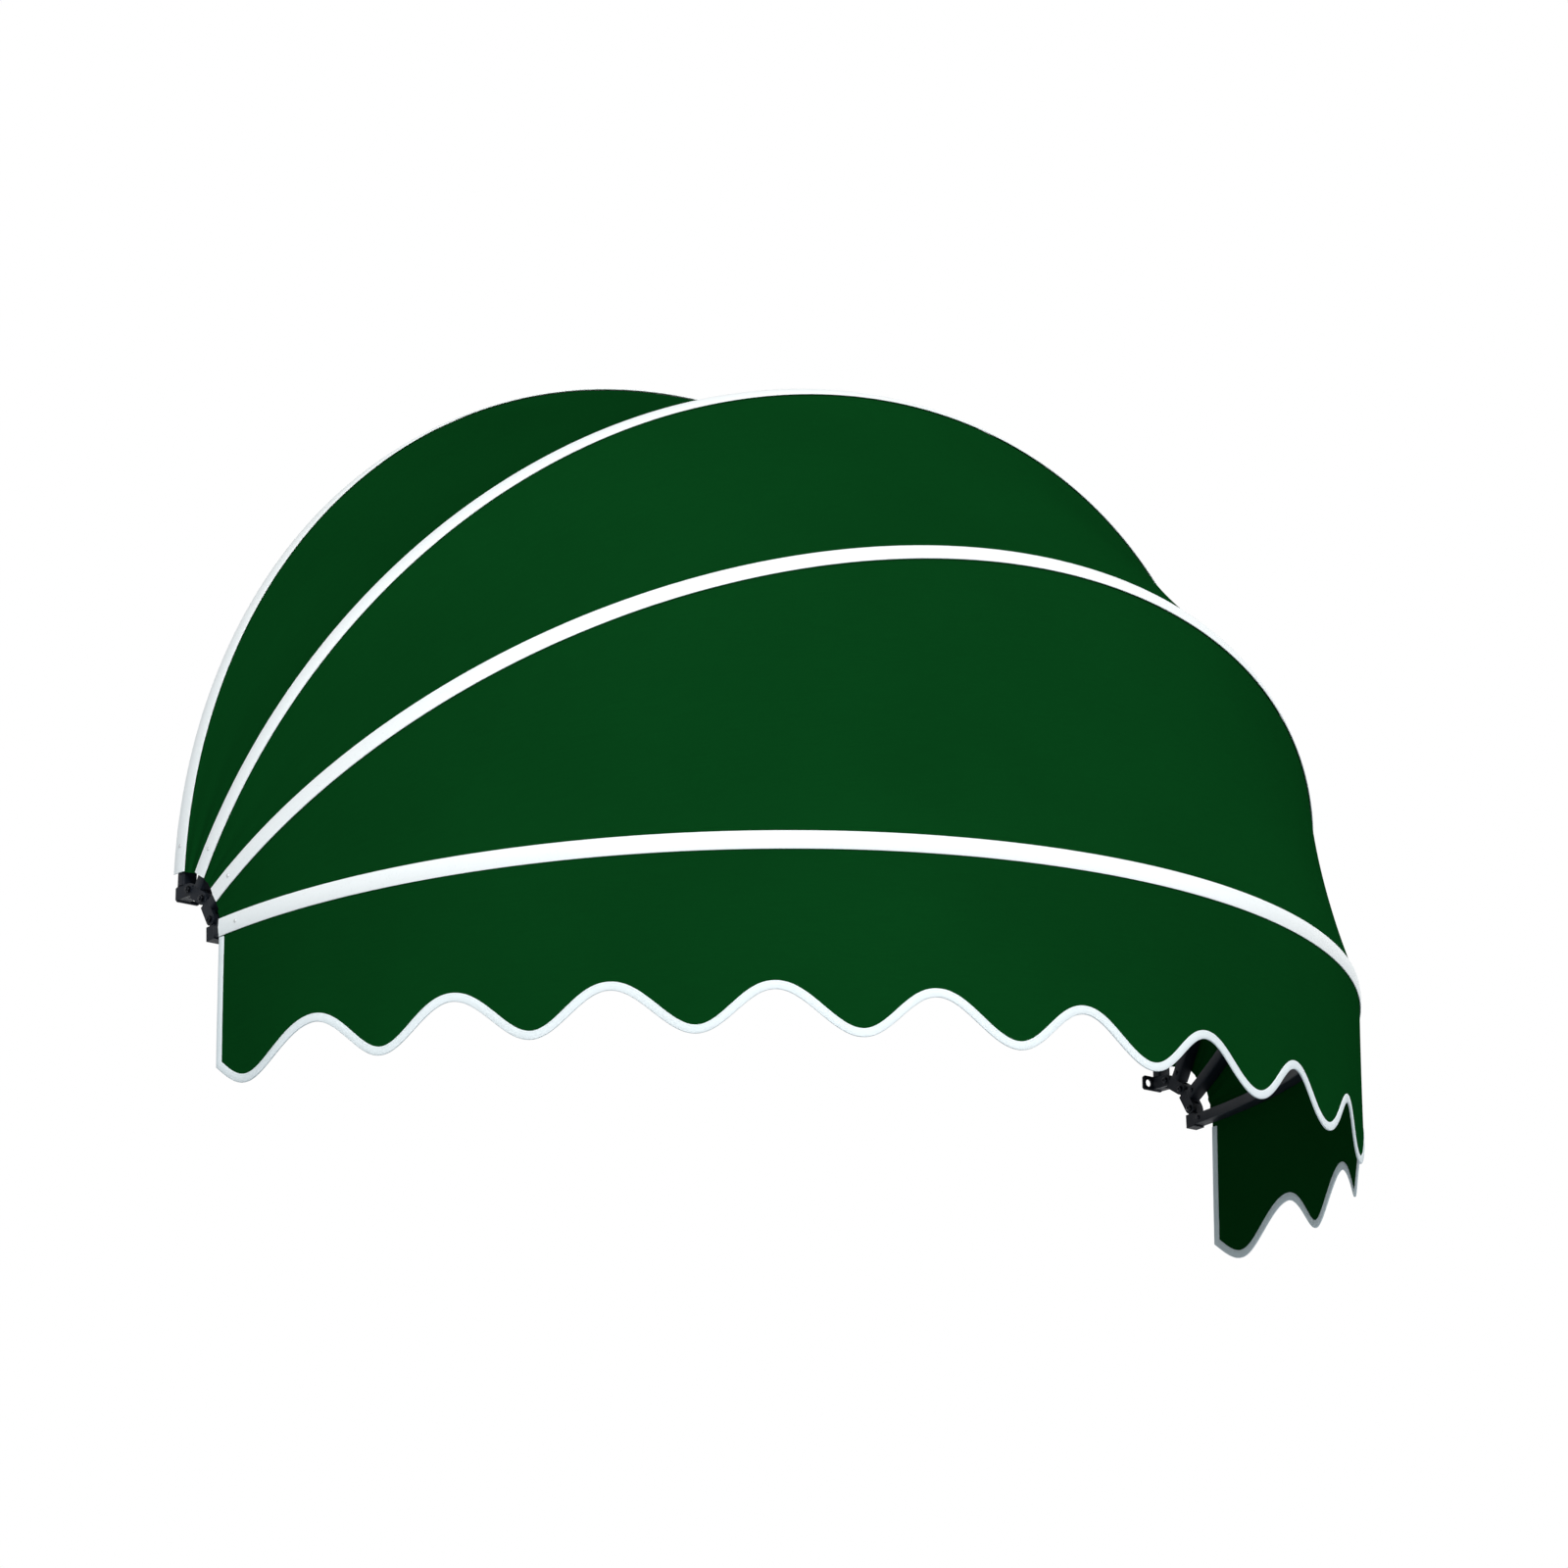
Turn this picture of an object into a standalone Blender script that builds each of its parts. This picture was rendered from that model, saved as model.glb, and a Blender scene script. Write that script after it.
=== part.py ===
# Folding dome awning for a window.
#
# Four equal half-round bows are joined at both ends by a chain of hinge knuckles.
# The first bow stands flat on the wall, and the others fan out in front of it.
# Three covers are clamped to the bows by white strips, and a scalloped valance
# with a white binding hangs from the front bow.
#
# Frame: X runs along the wall, the wall is the plane Y = 0, the awning stands out
# towards -Y, and Z is up. The origin is on the wall, midway between the brackets,
# at the height of the rearmost hinge bolts.

import bmesh
import bpy
import math
from mathutils import Matrix, Vector

# Driving dimensions, in metres and degrees
BOW_RADIUS = 1.000            # middle of the awning to the outer face of the strips
BOW_NAMES = ("wall", "second", "third", "front")
BOW_ANGLES = (0.0, 30.6, 58.2, 87.0)    # lean of each bow away from the wall
HINGE_NAMES = ("rear", "middle", "front")
COVER_NAMES = ("rear", "middle", "front")
HINGE_PITCH = 0.0436          # from one hinge bolt to the next, along a knuckle
ARC_STEPS = 36                # straight stretches in each bow's curve
GAP = 0.0003                  # between pieces that touch

# Bow tube, a hollow drawn section
TUBE_WIDTH = 0.018            # across the plane of the bow
TUBE_DEPTH = 0.025            # along the bow's radius
TUBE_WALL = 0.002
TUBE_CHAMFER = 0.003

# Clamping strip and cloth
STRIP_WIDTH = 0.028
STRIP_THICKNESS = 0.0016
CLOTH_THICKNESS = 0.0012
CLOTH_EDGE = 0.0018           # from the middle of a bow to the edge of the cloth under its strip
CLOTH_END_GAP = 0.020         # from the top of the knuckles up to the ends of the cloth
COVER_DIP = 0.030             # how far a cover dips between bows, as a share of their distance
COVER_ROWS = 3                # stretches across a cover, between its two bows

# Valance
VALANCE_DROP = 0.215          # from the end of the front strip down to the mean line of the hem
SCALLOP_HEIGHT = 0.068        # from the high points to the low points of the hem
END_LOBE = 0.216              # length of the hem's first and last lobe, three quarters of a wave
FULL_WAVES = 11               # whole waves between the end lobes
HEM_COLUMNS = 3               # columns of the valance for each stretch of the bow's curve
BINDING_WIDTH = 0.012
BINDING_THICKNESS = 0.0008

# Hinge knuckles
KNUCKLE_HALF_HEIGHT = 0.010
KNUCKLE_WIDTH = 0.022         # along the hinge bolt
TONGUE_WIDTH = 0.0094
LUG_CLEARANCE = 0.0005        # between a round lug and the block it turns beside
LUG_STEPS = 6
SPIGOT_LENGTH = 0.020
SPIGOT_CLEARANCE = 0.0006

# Wall bracket
PLATE_THICKNESS = 0.004
PLATE_HALF_HEIGHT = 0.012
PLATE_INBOARD = 0.020         # how far the plate reaches past the knuckle, towards the middle
PLATE_CHAMFER = 0.003
WALL_HOLE_RADIUS = 0.0065
WALL_HOLE_EDGE = 0.0115       # from the plate's inboard end to the middle of the hole
WALL_HOLE_SIDES = 16
BLOCK_SINK = 0.001            # how far the bracket's block reaches into its plate

# Fasteners
HINGE_BOLT_RADIUS = 0.003
HINGE_HEAD_RADIUS = 0.0055
HINGE_HEAD_HEIGHT = 0.004
NUT_RADIUS = 0.0058
NUT_HEIGHT = 0.005
BOLT_PROUD = 0.0015           # length of bolt that shows past its nut
BOW_SCREW_RADIUS = 0.002
BOW_SCREW_LENGTH = 0.010
BOW_SCREW_HEAD_RADIUS = 0.004
BOW_SCREW_HEAD_HEIGHT = 0.0022
BOW_SCREW_HEIGHT = 0.011      # above the foot of the tube
STRIP_SCREW_RADIUS = 0.0012
STRIP_SCREW_HEAD_RADIUS = 0.003
STRIP_SCREW_HEAD_HEIGHT = 0.0012
STRIP_SCREW_LENGTH = 0.008
HEAD_TOP = 0.7                # flat top of a domed head, as a share of its radius
HEAD_RIM = 0.45               # straight rim of a domed head, as a share of its height
ROUND_SIDES = 8
SMALL_SIDES = 6
CUT_PAST = 0.003              # how far a cut runs past the face that it opens

# Sizes that follow from these
STRIP_INNER = BOW_RADIUS - STRIP_THICKNESS
CLOTH_OUTER = STRIP_INNER - GAP
CLOTH_INNER = CLOTH_OUTER - CLOTH_THICKNESS
TUBE_OUTER = CLOTH_INNER - GAP
TUBE_INNER = TUBE_OUTER - TUBE_DEPTH
TUBE_MIDDLE = TUBE_OUTER - TUBE_DEPTH / 2
TUBE_FOOT = KNUCKLE_HALF_HEIGHT + 2 * GAP
BLOCK_HALF_LENGTH = HINGE_PITCH / 2 - KNUCKLE_HALF_HEIGHT - LUG_CLEARANCE
WALL_BOW_OFFSET = PLATE_THICKNESS + BLOCK_HALF_LENGTH - BLOCK_SINK
END_ANGLE = math.asin((KNUCKLE_HALF_HEIGHT + CLOTH_END_GAP) / BOW_RADIUS)
FOOT_ANGLE = math.asin(TUBE_FOOT / TUBE_MIDDLE)
STEP_ANGLE = (math.pi - 2 * END_ANGLE) / ARC_STEPS
SIDES = (("left", -1.0), ("right", 1.0))


def clear_scene():
    for old in list(bpy.data.objects):
        bpy.data.objects.remove(old, do_unlink=True)


def make_material(name, color, roughness, metallic=0.0):
    material = bpy.data.materials.new(name)
    material.use_nodes = True
    shader = material.node_tree.nodes["Principled BSDF"]
    shader.inputs["Base Color"].default_value = (*color, 1.0)
    shader.inputs["Roughness"].default_value = roughness
    shader.inputs["Metallic"].default_value = metallic
    return material


def make_finishes():
    return {
        "cloth": make_material("green_canvas", (0.004, 0.045, 0.010), 0.85),
        "strip": make_material("white_strip", (0.85, 0.88, 0.88), 0.45),
        "binding": make_material("white_binding", (0.82, 0.86, 0.87), 0.80),
        "tube": make_material("dark_tube", (0.012, 0.015, 0.020), 0.40, 0.6),
        "knuckle": make_material("dark_casting", (0.010, 0.012, 0.016), 0.50, 0.4),
        "bolt": make_material("dark_bolt", (0.020, 0.022, 0.026), 0.35, 0.9),
        "screw": make_material("plated_screw", (0.25, 0.26, 0.27), 0.35, 0.9),
    }


# Bodies: each is an empty on its hinge bolts, with its bow's plane in local XZ


def body_frames():
    """World matrix of each body. A hinged body's origin is on its own hinge axis."""
    frames = [Matrix.Identity(4)]
    lean = 0.0
    reach = WALL_BOW_OFFSET + HINGE_PITCH / 2
    for angle in BOW_ANGLES[1:]:
        step = Matrix.Translation((0.0, -reach, 0.0))
        turn = Matrix.Rotation(math.radians(angle - lean), 4, "X")
        frames.append(frames[-1] @ step @ turn)
        lean = angle
        reach = HINGE_PITCH
    return frames


def plane_of(bow):
    """Local Y of the plane of a bow in its body's frame."""
    return -WALL_BOW_OFFSET if bow == 0 else -HINGE_PITCH / 2


def fork_of(bow):
    """Local Y of the hinge axis that a body carries for the next body."""
    return plane_of(bow) - HINGE_PITCH / 2


FRAMES = body_frames()


def make_bodies():
    empties = []
    for bow, name in enumerate(BOW_NAMES):
        empty = bpy.data.objects.new(name + "_body", None)
        empty.empty_display_size = 0.05
        bpy.context.scene.collection.objects.link(empty)
        if bow:
            empty.parent = empties[-1]
            empty.matrix_basis = FRAMES[bow - 1].inverted() @ FRAMES[bow]
        empties.append(empty)
    return empties


def add_piece(name, mesh, body, material, smooth=None):
    piece = bpy.data.objects.new(name, mesh)
    bpy.context.scene.collection.objects.link(piece)
    piece.parent = body
    mesh.materials.clear()
    mesh.materials.append(material)
    if smooth is not None:
        mesh.shade_smooth()
        mesh.set_sharp_from_angle(angle=math.radians(smooth))
    return piece


def mesh_from(bm, name):
    bmesh.ops.recalc_face_normals(bm, faces=bm.faces)
    mesh = bpy.data.meshes.new(name)
    bm.to_mesh(mesh)
    bm.free()
    return mesh


# Solids


def prism(name, outline, low_x, high_x):
    """A flat outline of (y, z) points, drawn out along X."""
    bm = bmesh.new()
    near = [bm.verts.new((low_x, y, z)) for y, z in outline]
    far = [bm.verts.new((high_x, y, z)) for y, z in outline]
    bm.faces.new(near)
    bm.faces.new(far)
    for i in range(len(outline)):
        j = (i + 1) % len(outline)
        bm.faces.new((near[i], near[j], far[j], far[i]))
    return mesh_from(bm, name)


def turned(name, profile, origin, axis, sides=ROUND_SIDES):
    """A closed solid turned about an axis. The profile is (distance, radius) pairs.

    A profile that starts and ends at radius 0 is closed by its poles. Any other is
    a ring, and its last point joins its first.
    """
    axis = axis.normalized()
    across = axis.orthogonal().normalized()
    other = axis.cross(across)
    bm = bmesh.new()
    rings = []
    for distance, radius in profile:
        centre = origin + axis * distance
        if radius == 0.0:
            rings.append([bm.verts.new(centre)])
            continue
        ring = []
        for k in range(sides):
            angle = 2 * math.pi * (k + 0.5) / sides
            out = across * math.cos(angle) + other * math.sin(angle)
            ring.append(bm.verts.new(centre + radius * out))
        rings.append(ring)
    pairs = list(zip(rings, rings[1:]))
    if profile[0][1] > 0.0:
        pairs.append((rings[-1], rings[0]))
    for first, second in pairs:
        for k in range(sides):
            m = (k + 1) % sides
            if len(first) == 1:
                bm.faces.new((first[0], second[k], second[m]))
            elif len(second) == 1:
                bm.faces.new((first[k], first[m], second[0]))
            else:
                bm.faces.new((first[k], first[m], second[m], second[k]))
    return mesh_from(bm, name)


def rod(name, radius, start, end, sides=ROUND_SIDES):
    length = (end - start).length
    profile = ((0.0, 0.0), (0.0, radius), (length, radius), (length, 0.0))
    return turned(name, profile, start, end - start, sides)


def combine(name, base, added=(), removed=()):
    """Boolean unions and cuts on a mesh, worked out at once into one new mesh."""
    work = bpy.data.objects.new(name + "_work", base)
    bpy.context.scene.collection.objects.link(work)
    tools = []
    for operation, meshes in (("UNION", added), ("DIFFERENCE", removed)):
        for mesh in meshes:
            tool = bpy.data.objects.new(name + "_tool", mesh)
            tool.hide_render = True
            tool.display_type = "WIRE"
            bpy.context.scene.collection.objects.link(tool)
            tools.append(tool)
            step = work.modifiers.new(operation.lower(), "BOOLEAN")
            step.operation = operation
            step.solver = "EXACT"
            step.object = tool
    bpy.context.view_layer.update()
    graph = bpy.context.evaluated_depsgraph_get()
    result = bpy.data.meshes.new_from_object(work.evaluated_get(graph))
    result.name = name
    for done in [work] + tools:
        old = done.data
        bpy.data.objects.remove(done, do_unlink=True)
        bpy.data.meshes.remove(old)
    return result


def sweep(name, stations):
    """Closed sections, one list of points for each station, joined along their length."""
    bm = bmesh.new()
    rings = [[bm.verts.new(point) for point in station] for station in stations]
    count = len(rings[0])
    for first, second in zip(rings, rings[1:]):
        for k in range(count):
            m = (k + 1) % count
            bm.faces.new((first[k], first[m], second[m], second[k]))
    bm.faces.new(rings[0])
    bm.faces.new(rings[-1])
    return mesh_from(bm, name)


# The curve that bows, strips, covers and valance share


def arc_angle(station):
    """Angle of a station on the cloth's stretch of a bow, from the right end to the left."""
    return END_ANGLE + STEP_ANGLE * station


def arc_point(bow, station, radius, across, sub=0.0):
    """A point on a bow in its body's frame.

    The station may have a fraction, sub, and then the point lies on the straight
    stretch to the next station. Across is the distance from the bow's plane,
    towards the next bow.
    """
    start = arc_angle(station)
    x = math.cos(start)
    z = math.sin(start)
    if sub > 0.0:
        end = arc_angle(station + 1)
        x += (math.cos(end) - x) * sub
        z += (math.sin(end) - z) * sub
    return Vector((radius * x, plane_of(bow) - across, radius * z))


def angle_point(bow, angle, radius, across):
    return Vector((radius * math.cos(angle), plane_of(bow) - across, radius * math.sin(angle)))


def tube_section(bow, angle):
    """Outer and inner corners of a bow tube at an angle, in the body's frame."""
    half = TUBE_WIDTH / 2
    hole = half - TUBE_WALL
    outer = []
    inner = []
    for side_r, side_n in ((1, 1), (1, -1), (-1, -1), (-1, 1)):
        radius = TUBE_OUTER if side_r > 0 else TUBE_INNER
        long_cut = (radius, side_n * (half - TUBE_CHAMFER))
        short_cut = (radius - side_r * TUBE_CHAMFER, side_n * half)
        corner = (short_cut, long_cut) if side_r * side_n > 0 else (long_cut, short_cut)
        outer += [angle_point(bow, angle, r, n) for r, n in corner]
        inner.append(angle_point(bow, angle, radius - side_r * TUBE_WALL, side_n * hole))
    return outer, inner


def bow_tube(name, bow):
    """Hollow tube along a half circle, open at both ends."""
    angles = [FOOT_ANGLE]
    angles += [arc_angle(i) for i in range(ARC_STEPS + 1)]
    angles += [math.pi - FOOT_ANGLE]
    bm = bmesh.new()
    outers = []
    inners = []
    for angle in angles:
        outer, inner = tube_section(bow, angle)
        outers.append([bm.verts.new(point) for point in outer])
        inners.append([bm.verts.new(point) for point in inner])
    for rings in (outers, inners):
        count = len(rings[0])
        for first, second in zip(rings, rings[1:]):
            for k in range(count):
                m = (k + 1) % count
                bm.faces.new((first[k], first[m], second[m], second[k]))
    for outer, inner in ((outers[0], inners[0]), (outers[-1], inners[-1])):
        for corner in range(4):
            after = (corner + 1) % 4
            bm.faces.new((outer[2 * corner], outer[2 * corner + 1], inner[corner]))
            bm.faces.new((outer[2 * corner + 1], outer[2 * after], inner[after], inner[corner]))
    return mesh_from(bm, name)


def strip_mesh(name, bow):
    half = STRIP_WIDTH / 2
    corners = ((BOW_RADIUS, half), (BOW_RADIUS, -half), (STRIP_INNER, -half), (STRIP_INNER, half))
    stations = []
    for i in range(ARC_STEPS + 1):
        stations.append([arc_point(bow, i, radius, across) for radius, across in corners])
    return sweep(name, stations)


# Fasteners and their holes


def bow_screw_axis(bow, side):
    """Where a bow's screw meets the inboard face of its tube, and the way it points."""
    height = TUBE_FOOT + BOW_SCREW_HEIGHT
    angle = math.asin(height / TUBE_INNER)
    face = angle_point(bow, angle, TUBE_INNER, 0.0)
    return Vector((side * face.x, face.y, face.z)), Vector((side, 0.0, 0.0))


def bow_screw_hole(bow, side):
    face, inward = bow_screw_axis(bow, side)
    end = face + inward * (BOW_SCREW_LENGTH + GAP)
    return rod("hole", BOW_SCREW_RADIUS + GAP, face - inward * CUT_PAST, end)


def bow_screw(name, bow, side):
    face, inward = bow_screw_axis(bow, side)
    seat = -2 * GAP
    profile = (
        (seat - BOW_SCREW_HEAD_HEIGHT, 0.0),
        (seat - BOW_SCREW_HEAD_HEIGHT, BOW_SCREW_HEAD_RADIUS * HEAD_TOP),
        (seat - BOW_SCREW_HEAD_HEIGHT * HEAD_RIM, BOW_SCREW_HEAD_RADIUS),
        (seat, BOW_SCREW_HEAD_RADIUS),
        (seat, BOW_SCREW_RADIUS),
        (BOW_SCREW_LENGTH, BOW_SCREW_RADIUS),
        (BOW_SCREW_LENGTH, 0.0),
    )
    return turned(name, profile, face, inward)


def strip_screw_axis(bow, side):
    """Where a strip's end screw meets the outer face of the strip, and the way in."""
    face = arc_point(bow, 0, BOW_RADIUS, 0.0, 0.5)
    inward = -Vector((face.x, 0.0, face.z)).normalized()
    return Vector((side * face.x, face.y, face.z)), Vector((side * inward.x, 0.0, inward.z))


def strip_screw_hole(bow, side):
    face, inward = strip_screw_axis(bow, side)
    end = face + inward * (STRIP_SCREW_LENGTH + GAP)
    return rod("hole", STRIP_SCREW_RADIUS + GAP, face - inward * CUT_PAST, end, SMALL_SIDES)


def strip_screw(name, bow, side):
    face, inward = strip_screw_axis(bow, side)
    profile = (
        (-GAP - STRIP_SCREW_HEAD_HEIGHT, 0.0),
        (-GAP - STRIP_SCREW_HEAD_HEIGHT, STRIP_SCREW_HEAD_RADIUS * HEAD_TOP),
        (-GAP, STRIP_SCREW_HEAD_RADIUS),
        (-GAP, STRIP_SCREW_RADIUS),
        (STRIP_SCREW_LENGTH, STRIP_SCREW_RADIUS),
        (STRIP_SCREW_LENGTH, 0.0),
    )
    return turned(name, profile, face, inward, SMALL_SIDES)


def hinge_bolt(name, y, side):
    """Bolt along X: its head is inboard and its thread passes the nut outboard."""
    head_face = KNUCKLE_WIDTH / 2 + GAP
    tip = head_face + GAP + NUT_HEIGHT + BOLT_PROUD
    profile = (
        (-head_face - HINGE_HEAD_HEIGHT, 0.0),
        (-head_face - HINGE_HEAD_HEIGHT, HINGE_HEAD_RADIUS * HEAD_TOP),
        (-head_face - HINGE_HEAD_HEIGHT * HEAD_RIM, HINGE_HEAD_RADIUS),
        (-head_face, HINGE_HEAD_RADIUS),
        (-head_face, HINGE_BOLT_RADIUS),
        (tip, HINGE_BOLT_RADIUS),
        (tip, 0.0),
    )
    centre = Vector((side * TUBE_MIDDLE, y, 0.0))
    return turned(name, profile, centre, Vector((side, 0.0, 0.0)))


def hinge_nut(name, y, side):
    seat = KNUCKLE_WIDTH / 2 + GAP
    bore = HINGE_BOLT_RADIUS + GAP
    outer = ((seat, NUT_RADIUS), (seat + NUT_HEIGHT, NUT_RADIUS))
    centre = Vector((side * TUBE_MIDDLE, y, 0.0))
    axis = Vector((side, 0.0, 0.0))
    body = turned(name, ((seat, 0.0), *outer, (seat + NUT_HEIGHT, 0.0)), centre, axis, SMALL_SIDES)
    start = centre + axis * (seat - CUT_PAST)
    end = centre + axis * (seat + NUT_HEIGHT + CUT_PAST)
    return combine(name, body, removed=[rod("bore", bore, start, end)])


# Knuckles and wall brackets


def lug_outline(pivot_y, root_y):
    """A bar from its root to a round end about the pivot."""
    away = 1.0 if pivot_y > root_y else -1.0
    points = [(root_y, -KNUCKLE_HALF_HEIGHT)]
    for k in range(LUG_STEPS + 1):
        angle = -math.pi / 2 + math.pi * k / LUG_STEPS
        y = pivot_y + away * KNUCKLE_HALF_HEIGHT * math.cos(angle)
        points.append((y, KNUCKLE_HALF_HEIGHT * math.sin(angle)))
    points.append((root_y, KNUCKLE_HALF_HEIGHT))
    return points


def rectangle(low_y, high_y, low_z, high_z):
    return [(low_y, low_z), (high_y, low_z), (high_y, high_z), (low_y, high_z)]


def block_extent(middle, half):
    return middle - half, middle + half


def fork_parts(bow, x):
    """The two cheeks that hold the next knuckle's tongue."""
    pivot = fork_of(bow)
    root = plane_of(bow)
    outline = lug_outline(pivot, root)
    slot = TONGUE_WIDTH / 2 + GAP
    half = KNUCKLE_WIDTH / 2
    return [prism("cheek", outline, x - half, x - slot), prism("cheek", outline, x + slot, x + half)]


def bore_at(y, x):
    reach = Vector((KNUCKLE_WIDTH, 0.0, 0.0))
    centre = Vector((x, y, 0.0))
    return rod("bore", HINGE_BOLT_RADIUS + GAP, centre - reach, centre + reach)


def spigot(bow, side):
    """The plug on top of a knuckle that the bow tube slides over."""
    middle_height = KNUCKLE_HALF_HEIGHT + SPIGOT_LENGTH / 2
    x = side * math.sqrt(TUBE_MIDDLE ** 2 - middle_height ** 2)
    half_x = TUBE_DEPTH / 2 - TUBE_WALL - SPIGOT_CLEARANCE
    half_y = TUBE_WIDTH / 2 - TUBE_WALL - SPIGOT_CLEARANCE
    outline = rectangle(*block_extent(plane_of(bow), half_y), 0.0, KNUCKLE_HALF_HEIGHT + SPIGOT_LENGTH)
    return prism("spigot", outline, x - half_x, x + half_x)


def knuckle(name, bow, side):
    """A hinged knuckle: block, tongue, spigot and, but for the last, a fork."""
    x = side * TUBE_MIDDLE
    half = KNUCKLE_WIDTH / 2
    block_outline = rectangle(
        *block_extent(plane_of(bow), BLOCK_HALF_LENGTH), -KNUCKLE_HALF_HEIGHT, KNUCKLE_HALF_HEIGHT
    )
    block = prism(name, block_outline, x - half, x + half)
    tongue = prism("tongue", lug_outline(0.0, plane_of(bow)), x - TONGUE_WIDTH / 2, x + TONGUE_WIDTH / 2)
    added = [tongue, spigot(bow, side)]
    removed = [bore_at(0.0, x), bow_screw_hole(bow, side)]
    if bow + 1 < len(BOW_NAMES):
        added += fork_parts(bow, x)
        removed.append(bore_at(fork_of(bow), x))
    return combine(name, block, added, removed)


def wall_bracket(name, side):
    """The fixed end of the chain, cast in one with its wall plate."""
    x = side * TUBE_MIDDLE
    half = KNUCKLE_WIDTH / 2
    block_outline = rectangle(
        *block_extent(plane_of(0), BLOCK_HALF_LENGTH), -KNUCKLE_HALF_HEIGHT, KNUCKLE_HALF_HEIGHT
    )
    block = prism(name, block_outline, x - half, x + half)
    plate = wall_plate(side)
    added = [plate, spigot(0, side)] + fork_parts(0, x)
    hole_x = side * (TUBE_MIDDLE - half - PLATE_INBOARD + WALL_HOLE_EDGE)
    start = Vector((hole_x, -PLATE_THICKNESS * 2, 0.0))
    end = Vector((hole_x, PLATE_THICKNESS, 0.0))
    wall_hole = rod("wall_hole", WALL_HOLE_RADIUS, start, end, WALL_HOLE_SIDES)
    removed = [bore_at(fork_of(0), x), bow_screw_hole(0, side), wall_hole]
    return combine(name, block, added, removed)


def wall_plate(side):
    inboard = TUBE_MIDDLE - KNUCKLE_WIDTH / 2 - PLATE_INBOARD
    outboard = TUBE_MIDDLE + KNUCKLE_WIDTH / 2
    high = PLATE_HALF_HEIGHT
    cut = PLATE_CHAMFER
    outline = [
        (inboard, -high + cut), (inboard + cut, -high), (outboard - cut, -high), (outboard, -high + cut),
        (outboard, high - cut), (outboard - cut, high), (inboard + cut, high), (inboard, high - cut),
    ]
    bm = bmesh.new()
    back = [bm.verts.new((side * px, 0.0, pz)) for px, pz in outline]
    front = [bm.verts.new((side * px, -PLATE_THICKNESS, pz)) for px, pz in outline]
    bm.faces.new(back)
    bm.faces.new(front)
    for i in range(len(outline)):
        j = (i + 1) % len(outline)
        bm.faces.new((back[i], back[j], front[j], front[i]))
    return mesh_from(bm, "plate")


# Cloth


def thick_sheet(name, outer_rows, inner_rows):
    """A closed solid between two like grids of points."""
    bm = bmesh.new()
    outer = [[bm.verts.new(point) for point in row] for row in outer_rows]
    inner = [[bm.verts.new(point) for point in row] for row in inner_rows]
    last_row = len(outer) - 1
    last_column = len(outer[0]) - 1
    for grid in (outer, inner):
        for i in range(last_row):
            for j in range(last_column):
                bm.faces.new((grid[i][j], grid[i][j + 1], grid[i + 1][j + 1], grid[i + 1][j]))
    for i in range(last_row):
        for j in (0, last_column):
            bm.faces.new((outer[i][j], outer[i + 1][j], inner[i + 1][j], inner[i][j]))
    for j in range(last_column):
        for i in (0, last_row):
            bm.faces.new((outer[i][j], outer[i][j + 1], inner[i][j + 1], inner[i][j]))
    return mesh_from(bm, name)


def cover_column(bow, station, radius):
    """World points across a cover at one station, from its rear bow to its front bow."""
    corner = TUBE_WIDTH / 2 + GAP
    rear_edge = FRAMES[bow] @ arc_point(bow, station, radius, CLOTH_EDGE)
    rear_corner = FRAMES[bow] @ arc_point(bow, station, radius, corner)
    front_corner = FRAMES[bow + 1] @ arc_point(bow + 1, station, radius, -corner)
    front_edge = FRAMES[bow + 1] @ arc_point(bow + 1, station, radius, -CLOTH_EDGE)
    rear_centre = FRAMES[bow] @ Vector((0.0, plane_of(bow), 0.0))
    front_centre = FRAMES[bow + 1] @ Vector((0.0, plane_of(bow + 1), 0.0))
    span = front_corner - rear_corner
    column = [rear_edge, rear_corner]
    for row in range(1, COVER_ROWS):
        share = row / COVER_ROWS
        point = rear_corner.lerp(front_corner, share)
        inward = rear_centre.lerp(front_centre, share) - point
        inward -= span * (inward.dot(span) / span.length_squared)
        dip = COVER_DIP * span.length * 4 * share * (1 - share)
        column.append(point + inward.normalized() * dip)
    return column + [front_corner, front_edge]


def cover_mesh(name, bow):
    home = FRAMES[bow].inverted()
    outer = []
    inner = []
    for station in range(ARC_STEPS + 1):
        outer.append([home @ point for point in cover_column(bow, station, CLOTH_OUTER)])
        inner.append([home @ point for point in cover_column(bow, station, CLOTH_INNER)])
    return thick_sheet(name, outer, inner)


def hem_height(distance, length):
    """Height of the hem over its mean line, at a distance along it."""
    wave = (length - 2 * END_LOBE) / FULL_WAVES
    if distance < END_LOBE:
        phase = math.pi * (1.5 - 1.5 * distance / END_LOBE)
    elif distance > length - END_LOBE:
        phase = math.pi * (1.5 - 1.5 * (length - distance) / END_LOBE)
    else:
        phase = 2 * math.pi * (distance - END_LOBE) / wave
    return SCALLOP_HEIGHT / 2 * math.cos(phase)


def valance_columns():
    """Station and fraction of each column of the valance, from right to left."""
    columns = []
    for station in range(ARC_STEPS):
        for part in range(HEM_COLUMNS):
            columns.append((station, part / HEM_COLUMNS))
    columns.append((ARC_STEPS, 0.0))
    return columns


def front_point(radius, across, column):
    station, fraction = column
    front = len(BOW_NAMES) - 1
    return FRAMES[front] @ arc_point(front, station, radius, across, fraction)


def stretch_length():
    """Length of one straight stretch of the front strip."""
    return 2 * BOW_RADIUS * math.sin(STEP_ANGLE / 2)


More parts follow.
